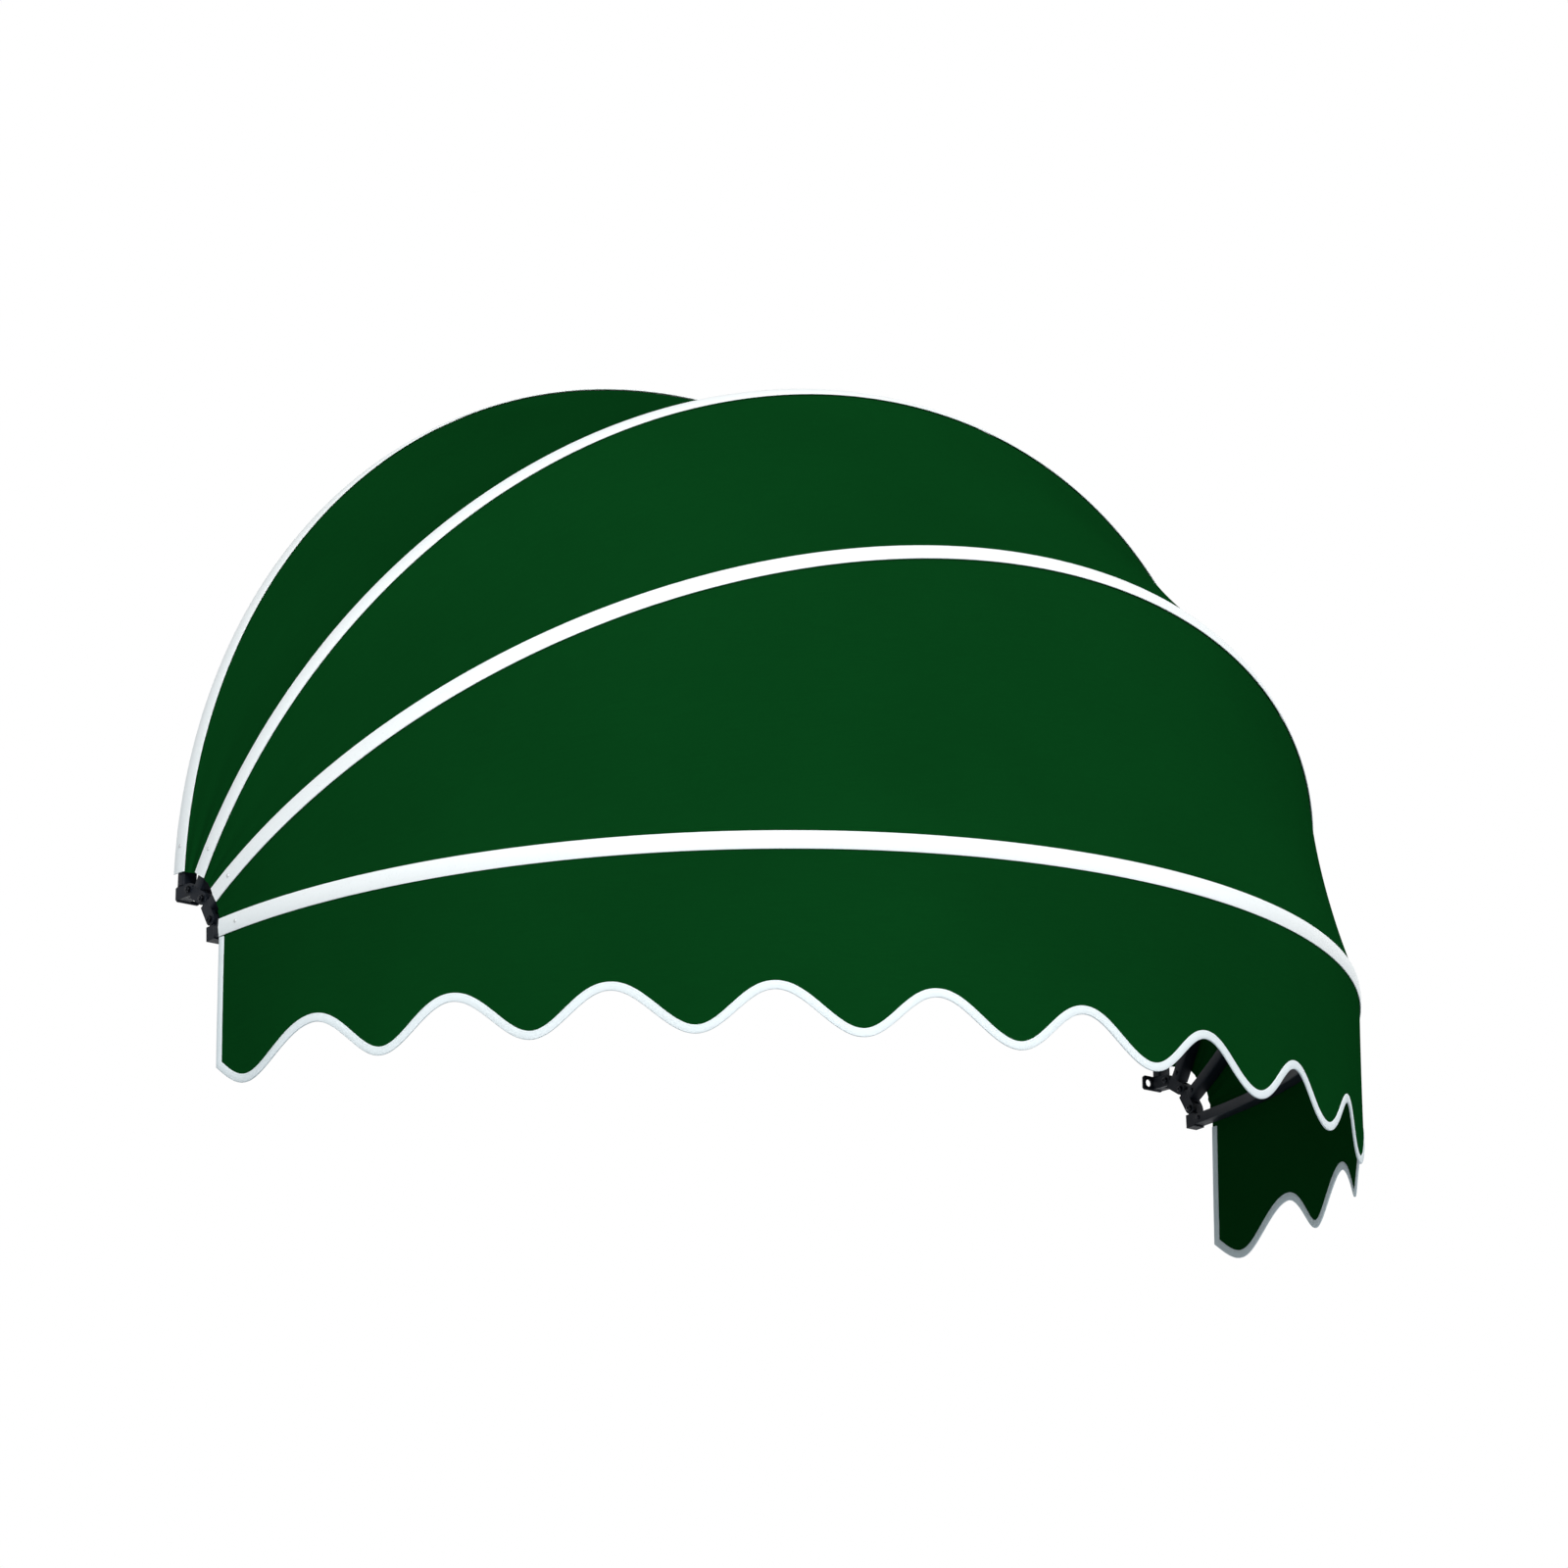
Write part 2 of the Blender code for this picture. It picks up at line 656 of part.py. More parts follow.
def hem_line():
    """Distance along the valance and world height of the hem, for each column."""
    columns = valance_columns()
    stretch = stretch_length()
    length = stretch * ARC_STEPS
    level = front_point(BOW_RADIUS, 0.0, columns[0]).z - VALANCE_DROP
    line = []
    for station, fraction in columns:
        distance = (station + fraction) * stretch
        line.append((distance, level + hem_height(distance, length)))
    return line


def valance_mesh(name):
    """Cloth that turns down over the front tube and hangs straight to its hem."""
    home = FRAMES[-1].inverted()
    corner = TUBE_WIDTH / 2 + GAP
    rows_of = []
    for radius in (CLOTH_OUTER, CLOTH_INNER):
        rows = []
        for column, (distance, hem) in zip(valance_columns(), hem_line()):
            edge = front_point(radius, CLOTH_EDGE, column)
            turn = front_point(radius, corner, column)
            bottom = Vector((turn.x, turn.y, hem))
            rows.append([home @ edge, home @ turn, home @ bottom])
        rows_of.append(rows)
    return thick_sheet(name, rows_of[0], rows_of[1])


def on_valance(distance, height, depth):
    """World point on the hanging cloth: along it, at a height, outward from its middle."""
    place = distance / stretch_length()
    station = min(int(place), ARC_STEPS - 1)
    radius = (CLOTH_OUTER + CLOTH_INNER) / 2 + depth
    point = front_point(radius, TUBE_WIDTH / 2 + GAP, (station, place - station))
    return Vector((point.x, point.y, height))


def binding_path():
    """Points (distance, height) on the valance's free edges, each with the way into the cloth.

    Along the hem that way is straight up, so that the tape's columns are the
    valance's own, and it is longer where the hem slopes, so that the tape keeps
    its width.
    """
    line = hem_line()
    last = len(line) - 1
    top = front_point(CLOTH_INNER, STRIP_WIDTH / 2 + BINDING_THICKNESS, valance_columns()[0]).z
    path = [((line[0][0], top), (1.0, 0.0))]
    for i, (distance, height) in enumerate(line):
        before = line[max(i - 1, 0)]
        after = line[min(i + 1, last)]
        slope = (after[1] - before[1]) / (after[0] - before[0])
        lift = math.hypot(1.0, slope)
        inward = {0: 1.0, last: -1.0}.get(i, 0.0)
        path.append(((distance, height), (inward, lift + inward * slope)))
    path.append(((line[last][0], top), (-1.0, 0.0)))
    return path


def binding_mesh(name):
    """Tape folded round the valance's hem and its two upright ends."""
    home = FRAMES[-1].inverted()
    fold = BINDING_THICKNESS + GAP
    inner = CLOTH_THICKNESS / 2 + GAP
    outer = inner + BINDING_THICKNESS
    section = (
        (BINDING_WIDTH, outer), (-fold, outer), (-fold, -outer), (BINDING_WIDTH, -outer),
        (BINDING_WIDTH, -inner), (-GAP, -inner), (-GAP, inner), (BINDING_WIDTH, inner),
    )
    stations = []
    for here, inward in binding_path():
        station = []
        for offset, depth in section:
            distance = here[0] + inward[0] * offset
            station.append(home @ on_valance(distance, here[1] + inward[1] * offset, depth))
        stations.append(station)
    return sweep(name, stations)


# The awning


def build_bow(bow, body, finishes):
    name = BOW_NAMES[bow]
    holes = []
    strip_holes = []
    for _, side in SIDES:
        holes += [bow_screw_hole(bow, side), strip_screw_hole(bow, side)]
        strip_holes.append(strip_screw_hole(bow, side))
    tube = combine(name + "_bow", bow_tube(name + "_bow", bow), removed=holes)
    add_piece(name + "_bow", tube, body, finishes["tube"], 35)
    strip = combine(name + "_strip", strip_mesh(name + "_strip", bow), removed=strip_holes)
    add_piece(name + "_strip", strip, body, finishes["strip"], 35)
    for side_name, side in SIDES:
        screw_name = name + "_bow_screw_" + side_name
        add_piece(screw_name, bow_screw(screw_name, bow, side), body, finishes["bolt"], 50)
        clip_name = name + "_strip_screw_" + side_name
        add_piece(clip_name, strip_screw(clip_name, bow, side), body, finishes["screw"], 50)


def build_hinges(bow, body, finishes):
    """What stands at both ends of a bow: its knuckles, and the bolts it carries."""
    for side_name, side in SIDES:
        if bow == 0:
            name = "wall_bracket_" + side_name
            add_piece(name, wall_bracket(name, side), body, finishes["knuckle"])
        else:
            name = BOW_NAMES[bow] + "_knuckle_" + side_name
            add_piece(name, knuckle(name, bow, side), body, finishes["knuckle"])
        if bow + 1 < len(BOW_NAMES):
            bolt = HINGE_NAMES[bow] + "_hinge_bolt_" + side_name
            add_piece(bolt, hinge_bolt(bolt, fork_of(bow), side), body, finishes["bolt"], 40)
            nut = HINGE_NAMES[bow] + "_hinge_nut_" + side_name
            add_piece(nut, hinge_nut(nut, fork_of(bow), side), body, finishes["bolt"])


def build_cloth(bodies, finishes):
    for bow, name in enumerate(COVER_NAMES):
        title = name + "_cover"
        add_piece(title, cover_mesh(title, bow), bodies[bow], finishes["cloth"], 30)
    add_piece("valance", valance_mesh("valance"), bodies[-1], finishes["cloth"], 30)
    add_piece("valance_binding", binding_mesh("valance_binding"), bodies[-1], finishes["binding"])


def main():
    clear_scene()
    finishes = make_finishes()
    bodies = make_bodies()
    for bow, body in enumerate(bodies):
        build_bow(bow, body, finishes)
        build_hinges(bow, body, finishes)
    build_cloth(bodies, finishes)


main()
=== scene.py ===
import math

import bmesh
import bpy
import numpy as np
from mathutils import Matrix, Vector


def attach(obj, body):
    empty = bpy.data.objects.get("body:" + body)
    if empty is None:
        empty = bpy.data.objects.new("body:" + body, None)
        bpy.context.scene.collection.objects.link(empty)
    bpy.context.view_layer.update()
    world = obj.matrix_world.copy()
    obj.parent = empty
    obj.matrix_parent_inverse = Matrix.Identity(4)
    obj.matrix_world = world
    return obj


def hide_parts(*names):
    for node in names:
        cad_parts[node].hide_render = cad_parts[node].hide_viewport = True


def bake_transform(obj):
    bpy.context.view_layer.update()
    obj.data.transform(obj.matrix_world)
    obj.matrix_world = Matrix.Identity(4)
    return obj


# Camera, fitted to the bows and the hem in the photo
CAMERA_AIM = Vector((0.0, -0.4143, 0.3))
CAMERA_FORWARD = Vector((0.6022, 0.7480, 0.2788))
CAMERA_DISTANCE = 10.84
CAMERA_LENS = 158.15
CAMERA_SHIFT_X = -0.0463
CAMERA_SHIFT_Y = -0.0153

# Floor of the studio
FLOOR_HEIGHT = -3.6
FLOOR_RADIUS = 120.0
FLOOR_GLOW = 0.22             # only where it is seen, so that it looks pale and lights nothing

# Sizes of the awning, as its solids have them
BOW_NAMES = ("wall", "second", "third", "front")
BOW_ANGLES = (0.0, 30.6, 58.2, 87.0)
HINGE_NAMES = ("rear", "middle", "front")
HINGE_PITCH = 0.0436
WALL_BOW_OFFSET = 0.0143
BOW_RADIUS = 1.000
TUBE_OUTER = 0.9966
TUBE_WIDTH = 0.018
TUBE_DEPTH = 0.025
TUBE_WALL = 0.002
TUBE_FOOT = 0.0106
TUBE_CORNER = 0.003
TUBE_MIDDLE = TUBE_OUTER - TUBE_DEPTH / 2
STRIP_WIDTH = 0.028
STRIP_THICKNESS = 0.0016
STRIP_CORNER = 0.0006
STRIP_CROWN = 0.0012
KNUCKLE_WIDTH = 0.022
HEAD_FACE = KNUCKLE_WIDTH / 2 + 0.0003    # where the hinge bolts' heads and nuts bear
BOW_SCREW_HEIGHT = 0.011      # above the foot of the tube
STRIP_SCREW_SEAT = 0.0010     # beyond the bow's radius, just under the strip's crown
STRIP_FACETS = 36             # of a solid strip; its end screws sit on the first and last

# Cloth
CLOTH_RADIUS = 0.9975
CLOTH_THICKNESS = 0.0010
CLOTH_EDGE = 0.0018           # from the bow's middle plane to the clamped edge
CLOTH_CORNER = TUBE_WIDTH / 2 + 0.0003    # from that plane to where the cloth leaves the tube
CLOTH_END_HEIGHT = 0.030
COVER_DIP = 0.030             # as a share of the distance between two bows
PULL_DEPTH = 0.0011
PULL_REACH = 0.22             # length over which the pulls fade from the cover's ends
PULL_WAVES = 2.5              # between one bow and the next
PUCKER_DEPTH = 0.00035
PUCKER_REACH = 0.035          # length over which the pucker fades from the strips
PUCKER_LENGTH = 0.021
PUCKER_WANDER = 1.3
PUCKER_WANDER_LENGTH = 0.11
VALANCE_DROP = 0.215
SCALLOP_HEIGHT = 0.068
END_LOBE = 0.216              # length of the hem's first and last lobe
FULL_WAVES = 11
HEM_DRIFT = 0.010             # how far the waves at mid-span lie towards the right end
HEM_SKEW = 0.005              # how much further the low points lie that way
FLUTE_DEPTH = 0.0022
FLUTE_WANDER = 0.6
FLUTE_WANDER_RATE = 2.1

# Binding tape and its stitches
BINDING_WIDTH = 0.012
BINDING_THICKNESS = 0.0008
BINDING_FOLD = BINDING_THICKNESS + 0.0003     # how far the fold reaches past the cloth
BINDING_INNER = CLOTH_THICKNESS / 2 + 0.0002  # from the middle of the cloth to the tape
BINDING_OUTER = BINDING_INNER + BINDING_THICKNESS
BINDING_START = 0.001         # from the front strip's edge down to the tape
MITRE_SPREAD = 0.030          # stretch of hem over which the tape turns into the corner's mitre
STITCH_INSET = 0.0025
STITCH_PITCH = 0.0042
STITCH_LENGTH = 0.0032
THREAD_WIDTH = 0.0006

# How fine the meshes are
TUBE_STATIONS = 241
STRIP_STATIONS = 361
COVER_COLUMNS = 300
COVER_SPAN_ROWS = 32
VALANCE_COLUMNS = 768
VALANCE_ROWS = 26
LEG_STATIONS = 40             # up each upright end of the binding

END_ANGLE = math.asin(CLOTH_END_HEIGHT / BOW_RADIUS)
CLOTH_ANGLE = math.pi - 2 * END_ANGLE
FOOT_ANGLE = math.asin(TUBE_FOOT / TUBE_MIDDLE)
SIDES = (-1.0, 1.0)           # left end, right end

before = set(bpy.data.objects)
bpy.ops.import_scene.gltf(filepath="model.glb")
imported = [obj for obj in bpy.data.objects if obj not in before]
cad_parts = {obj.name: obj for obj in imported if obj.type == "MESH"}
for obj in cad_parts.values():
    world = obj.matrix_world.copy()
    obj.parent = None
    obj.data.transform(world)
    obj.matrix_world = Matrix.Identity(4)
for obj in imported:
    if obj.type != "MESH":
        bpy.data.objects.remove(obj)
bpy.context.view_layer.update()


def make_camera():
    data = bpy.data.cameras.new("camera")
    data.lens = CAMERA_LENS
    data.sensor_width = 36.0
    data.shift_x = CAMERA_SHIFT_X
    data.shift_y = CAMERA_SHIFT_Y
    data.clip_end = 2 * FLOOR_RADIUS
    camera = bpy.data.objects.new("camera", data)
    forward = CAMERA_FORWARD.normalized()
    camera.location = CAMERA_AIM - CAMERA_DISTANCE * forward
    camera.rotation_euler = forward.to_track_quat("-Z", "Y").to_euler()
    bpy.context.scene.collection.objects.link(camera)
    bpy.context.scene.camera = camera


# Small helpers for node trees


def join(tree, source, target):
    tree.links.new(source, target)


def add_node(tree, kind, inputs=None, **settings):
    """A new node. Each of its inputs takes a value, or another node's output."""
    node = tree.nodes.new(kind)
    for key, value in settings.items():
        setattr(node, key, value)
    for key, value in (inputs or {}).items():
        if isinstance(value, bpy.types.NodeSocket):
            join(tree, value, node.inputs[key])
        else:
            node.inputs[key].default_value = value
    return node


def maths(tree, operation, first, second=0.5, clamp=False):
    node = add_node(tree, "ShaderNodeMath", operation=operation, use_clamp=clamp)
    for socket, value in zip(node.inputs, (first, second)):
        if isinstance(value, (int, float)):
            socket.default_value = value
        else:
            join(tree, value, socket)
    return node.outputs[0]


def ramp(tree, source, low, high, to_low=0.0, to_high=1.0):
    node = add_node(tree, "ShaderNodeMapRange", {
        "Value": source, "From Min": low, "From Max": high, "To Min": to_low, "To Max": to_high,
    })
    return node.outputs["Result"]


def mixed(tree, share, first, second):
    node = add_node(tree, "ShaderNodeMix", {"Factor": share}, data_type="RGBA")
    for socket, value in ((node.inputs[6], first), (node.inputs[7], second)):
        if isinstance(value, tuple):
            socket.default_value = (*value, 1.0)
        else:
            join(tree, value, socket)
    return node.outputs[2]


def noise(tree, vector, scale, detail=2.0):
    inputs = {"Vector": vector, "Scale": scale, "Detail": detail}
    return add_node(tree, "ShaderNodeTexNoise", inputs)


def one_or_other(tree, share, first, second):
    """The first shader where share is 0, the second where it is 1."""
    return add_node(tree, "ShaderNodeMixShader", {0: share, 1: first, 2: second}).outputs[0]


def new_group(name, kind, inputs, outputs):
    """A node group with named sockets. Inputs are (name, kind, default)."""
    tree = bpy.data.node_groups.new(name, kind)
    for label, socket, default in inputs:
        made = tree.interface.new_socket(label, in_out="INPUT", socket_type="NodeSocket" + socket)
        if default is not None:
            made.default_value = default
    for label, socket in outputs:
        tree.interface.new_socket(label, in_out="OUTPUT", socket_type="NodeSocket" + socket)
    start = tree.nodes.new("NodeGroupInput")
    end = tree.nodes.new("NodeGroupOutput")
    return tree, start.outputs, end.inputs


# Shader groups that several finishes share


def make_weave_group():
    """Plain weave from a UV map in metres: thread relief and slubs, and painted shade darker between
    the threads.
    """
    tree, inp, out = new_group(
        "plain_weave", "ShaderNodeTree",
        [
            ("Vector", "Vector", None),
            ("Thread Pitch", "Float", 0.0008),
            ("Slub", "Float", 0.3),
        ],
        [("Height", "Float"), ("Shade", "Float")],
    )
    split = add_node(tree, "ShaderNodeSeparateXYZ", {0: inp["Vector"]})
    along = maths(tree, "DIVIDE", split.outputs[0], inp["Thread Pitch"])
    across = maths(tree, "DIVIDE", split.outputs[1], inp["Thread Pitch"])
    warp = maths(tree, "ABSOLUTE", maths(tree, "SINE", maths(tree, "MULTIPLY", along, math.pi)))
    weft = maths(tree, "ABSOLUTE", maths(tree, "SINE", maths(tree, "MULTIPLY", across, math.pi)))
    column = maths(tree, "FLOOR", along)
    row = maths(tree, "FLOOR", across)
    turn = maths(tree, "FLOORED_MODULO", maths(tree, "ADD", column, row), 2.0)
    over = maths(tree, "MULTIPLY", warp, turn)
    under = maths(tree, "MULTIPLY", weft, maths(tree, "SUBTRACT", 1.0, turn))
    relief = maths(tree, "ADD", over, under)
    stretch = add_node(tree, "ShaderNodeMapping", {
        "Scale": (18.0, 700.0, 1.0), "Vector": inp["Vector"],
    })
    slub = noise(tree, stretch.outputs[0], 1.0)
    uneven = maths(tree, "MULTIPLY", maths(tree, "SUBTRACT", slub.outputs["Fac"], 0.5), inp["Slub"])
    join(tree, maths(tree, "ADD", relief, uneven), out["Height"])
    # Shade: half the relief, so painted shade where the threads dip, plus the slubs' real unevenness.
    join(tree, maths(tree, "ADD", maths(tree, "MULTIPLY", relief, 0.5), uneven), out["Shade"])
    return tree


def make_weather_group():
    """Soft broad variation and fine dust, from a position in metres."""
    tree, inp, out = new_group(
        "weathering", "ShaderNodeTree",
        [
            ("Vector", "Vector", None),
            ("Patch Size", "Float", 0.25),
            ("Dust", "Float", 0.3),
        ],
        [("Patches", "Float"), ("Dust", "Float")],
    )
    broad = noise(tree, inp["Vector"], maths(tree, "DIVIDE", 1.0, inp["Patch Size"]), 3.0)
    fine = noise(tree, inp["Vector"], 260.0, 4.0)
    specks = ramp(tree, fine.outputs["Fac"], 0.58, 0.74)
    join(tree, broad.outputs["Fac"], out["Patches"])
    join(tree, maths(tree, "MULTIPLY", specks, inp["Dust"]), out["Dust"])
    return tree


def make_edge_group():
    """Mask of worn edges and corners, and the rounded normal that goes with them."""
    tree, inp, out = new_group(
        "worn_edges", "ShaderNodeTree",
        [
            ("Vector", "Vector", None),
            ("Edge Radius", "Float", 0.0006),
            ("Wear", "Float", 0.6),
        ],
        [("Mask", "Float"), ("Normal", "Vector")],
    )
    rounded = add_node(tree, "ShaderNodeBevel", {"Radius": inp["Edge Radius"]}, samples=6)
    geometry = add_node(tree, "ShaderNodeNewGeometry")
    facing = add_node(tree, "ShaderNodeVectorMath", {
        0: rounded.outputs[0], 1: geometry.outputs["Normal"],
    }, operation="DOT_PRODUCT")
    edge = ramp(tree, facing.outputs["Value"], 0.995, 0.90)
    patchy = noise(tree, inp["Vector"], 420.0, 5.0)
    chips = ramp(tree, patchy.outputs["Fac"], 0.46, 0.62)
    worn = maths(tree, "MULTIPLY", maths(tree, "MULTIPLY", edge, chips), inp["Wear"], True)
    join(tree, worn, out["Mask"])
    join(tree, rounded.outputs[0], out["Normal"])
    return tree


def place_group(tree, group, vector, **values):
    node = add_node(tree, "ShaderNodeGroup", {"Vector": vector}, node_tree=group)
    for key, value in values.items():
        node.inputs[key.replace("_", " ").title()].default_value = value
    return node.outputs


def new_finish(name):
    material = bpy.data.materials.new(name)
    material.use_nodes = True
    tree = material.node_tree
    shader = tree.nodes["Principled BSDF"]
    place = add_node(tree, "ShaderNodeTexCoord")
    return material, tree, shader, place


def bumped(tree, height, distance, strength, normal=None):
    bump = add_node(tree, "ShaderNodeBump", {
        "Distance": distance, "Strength": strength, "Height": height,
    })
    if normal is not None:
        join(tree, normal, bump.inputs["Normal"])
    return bump.outputs["Normal"]


def canvas_finish(name, groups, light, dark, gloss, pitch):
    """Woven, dyed canvas, with painted shade darker between the threads."""
    material, tree, shader, place = new_finish(name)
    weave = place_group(tree, groups["weave"], place.outputs["UV"], thread_pitch=pitch, slub=0.35)
    weather = place_group(tree, groups["weather"], place.outputs["Object"], patch_size=0.4)
    # Painted shade: the dark colour goes where the weave dips between threads, and the slubs add real
    # thread colour.
    base = mixed(tree, ramp(tree, weave["Shade"], 0.0, 0.6), dark, light)
    broad = ramp(tree, weather["Patches"], 0.3, 0.7, 0.93, 1.06)
    toned = add_node(tree, "ShaderNodeVectorMath", {0: base, "Scale": broad}, operation="SCALE")
    join(tree, toned.outputs[0], shader.inputs["Base Color"])
    join(tree, ramp(tree, weave["Height"], 0.0, 1.0, 0.92, 0.80), shader.inputs["Roughness"])
    join(tree, bumped(tree, weave["Height"], 0.00012, 0.5), shader.inputs["Normal"])
    shader.inputs["Specular IOR Level"].default_value = gloss
    return material


def strip_finish(groups):
    """White extruded plastic, satin, with a faint grain and a little dust."""
    material, tree, shader, place = new_finish("white_strip_plastic")
    weather = place_group(tree, groups["weather"], place.outputs["Object"], patch_size=0.12, dust=0.25)
    broad = ramp(tree, weather["Patches"], 0.3, 0.7)
    clean = mixed(tree, broad, (0.93, 0.965, 0.97), (0.96, 0.98, 0.98))
    base = mixed(tree, weather["Dust"], clean, (0.70, 0.73, 0.72))
    join(tree, base, shader.inputs["Base Color"])
    join(tree, ramp(tree, weather["Patches"], 0.2, 0.8, 0.34, 0.46), shader.inputs["Roughness"])
    grain = noise(tree, place.outputs["Object"], 900.0)
    join(tree, bumped(tree, grain.outputs["Fac"], 0.00005, 0.25), shader.inputs["Normal"])
    return material


def coated_finish(name, groups, color, bare, rough, peel):
    """Powder-coated metal: orange peel, dust, and bright chips on the edges."""
    material, tree, shader, place = new_finish(name)
    edges = place_group(tree, groups["edges"], place.outputs["Object"], edge_radius=0.0007, wear=0.7)
    weather = place_group(tree, groups["weather"], place.outputs["Object"], patch_size=0.05, dust=0.35)
    dust = tuple(0.6 * c + d for c, d in zip(color, (0.011, 0.015, 0.019)))
    dusty = mixed(tree, weather["Dust"], color, dust)
    join(tree, mixed(tree, edges["Mask"], dusty, bare), shader.inputs["Base Color"])
    join(tree, ramp(tree, edges["Mask"], 0.0, 1.0, 0.0, 0.9), shader.inputs["Metallic"])
    sheen = ramp(tree, weather["Patches"], 0.3, 0.7, rough - 0.05, rough + 0.08)
    join(tree, sheen, shader.inputs["Roughness"])
    skin = noise(tree, place.outputs["Object"], peel)
    normal = bumped(tree, skin.outputs["Fac"], 0.00008, 0.35, edges["Normal"])
    join(tree, normal, shader.inputs["Normal"])
    shader.inputs["Specular IOR Level"].default_value = 0.14
    return material


def metal_finish(name, groups, color, bare, rough):
    """Blackened or plated steel, a little uneven, with worn edges."""
    material, tree, shader, place = new_finish(name)
    edges = place_group(tree, groups["edges"], place.outputs["Object"], edge_radius=0.0003, wear=0.8)
    weather = place_group(tree, groups["weather"], place.outputs["Object"], patch_size=0.01, dust=0.3)
    aged = mixed(tree, weather["Dust"], color, (0.09, 0.085, 0.08))
    join(tree, mixed(tree, edges["Mask"], aged, bare), shader.inputs["Base Color"])
    shader.inputs["Metallic"].default_value = 0.9
    sheen = ramp(tree, weather["Patches"], 0.3, 0.7, rough - 0.06, rough + 0.10)
    join(tree, sheen, shader.inputs["Roughness"])
    marks = noise(tree, place.outputs["Object"], 1500.0)
    normal = bumped(tree, marks.outputs["Fac"], 0.00003, 0.3, edges["Normal"])
    join(tree, normal, shader.inputs["Normal"])
    return material


def thread_finish(groups):
    """Twisted white thread."""
    material, tree, shader, place = new_finish("white_thread")
    weather = place_group(tree, groups["weather"], place.outputs["Object"], patch_size=0.004)
    base = mixed(tree, ramp(tree, weather["Patches"], 0.3, 0.7), (0.66, 0.69, 0.70), (0.86, 0.88, 0.88))
    join(tree, base, shader.inputs["Base Color"])
    shader.inputs["Roughness"].default_value = 0.7
    shader.inputs["Sheen Weight"].default_value = 0.3
    twist = add_node(tree, "ShaderNodeTexWave", {"Scale": 1200.0, "Vector": place.outputs["Object"]})
    join(tree, bumped(tree, twist.outputs["Fac"], 0.00005, 0.4), shader.inputs["Normal"])
    return material


def make_finishes():
    groups = {
        "weave": make_weave_group(),
        "weather": make_weather_group(),
        "edges": make_edge_group(),
    }
    return {
        # In both cloths, dark is the painted shade between the threads, and light is the colour of the
        # threads' tops.
        "canvas": canvas_finish(
            "green_canvas", groups,
            light=(0.0027, 0.0545, 0.0097), dark=(0.0018, 0.0376, 0.0065), gloss=0.0, pitch=0.0008,
        ),
        "binding": canvas_finish(
            "white_tape", groups,
            light=(0.92, 0.96, 0.97), dark=(0.79, 0.87, 0.90), gloss=0.10, pitch=0.0006,
        ),
        "strip": strip_finish(groups),
        "tube": coated_finish(
            "coated_tube", groups,
            color=(0.0062, 0.0086, 0.0136), bare=(0.13, 0.14, 0.15), rough=0.50, peel=700.0,
        ),
        "casting": coated_finish(
            "coated_casting", groups,
            color=(0.0060, 0.0084, 0.0132), bare=(0.12, 0.13, 0.14), rough=0.55, peel=450.0,
        ),
        "bolt": metal_finish(
            "blackened_bolt", groups,
            color=(0.012, 0.014, 0.018), bare=(0.16, 0.16, 0.17), rough=0.42,
        ),
        "screw": metal_finish(
            "plated_screw", groups,
            color=(0.62, 0.64, 0.65), bare=(0.80, 0.80, 0.80), rough=0.36,
        ),
        "thread": thread_finish(groups),
    }


# The bows' places, each on its hinge and leaning out from the wall


def bow_places():
    """For each bow: its lean in radians, and the (y, z) of its centre and of its front hinge."""
    places = []
    pivot = np.zeros(2)
    for k, angle in enumerate(BOW_ANGLES):
        lean = math.radians(angle)
        outward = np.array((-math.cos(lean), -math.sin(lean)))
        middle = WALL_BOW_OFFSET if k == 0 else HINGE_PITCH / 2
        centre = pivot + outward * middle
        pivot = centre + outward * HINGE_PITCH / 2
        places.append((lean, centre, pivot))
    return places


PLACES = bow_places()


def bow_points(k, angle, radius, across):
    """World points on bow k, at an angle round it and a distance from its plane."""
    lean, centre, _ = PLACES[k]
    angle = np.asarray(angle, float)
    up = radius * np.sin(angle)
    y = centre[0] - across * math.cos(lean) - up * math.sin(lean)
    z = centre[1] - across * math.sin(lean) + up * math.cos(lean)
    return np.stack([radius * np.cos(angle), y, z], axis=-1)


def bow_centre(k):
    _, centre, _ = PLACES[k]
    return np.array((0.0, centre[0], centre[1]))


# Geometry trees


def end_tree(tree, shape, inp, out):
    """Plain geometry in the piece's own material, where every geometry tree ends."""
    whole = add_node(tree, "GeometryNodeRealizeInstances", {0: shape})
    painted = add_node(tree, "GeometryNodeSetMaterial", {
        "Geometry": whole.outputs[0], "Material": inp["Material"],
    })
    join(tree, painted.outputs[0], out["Geometry"])
    return tree


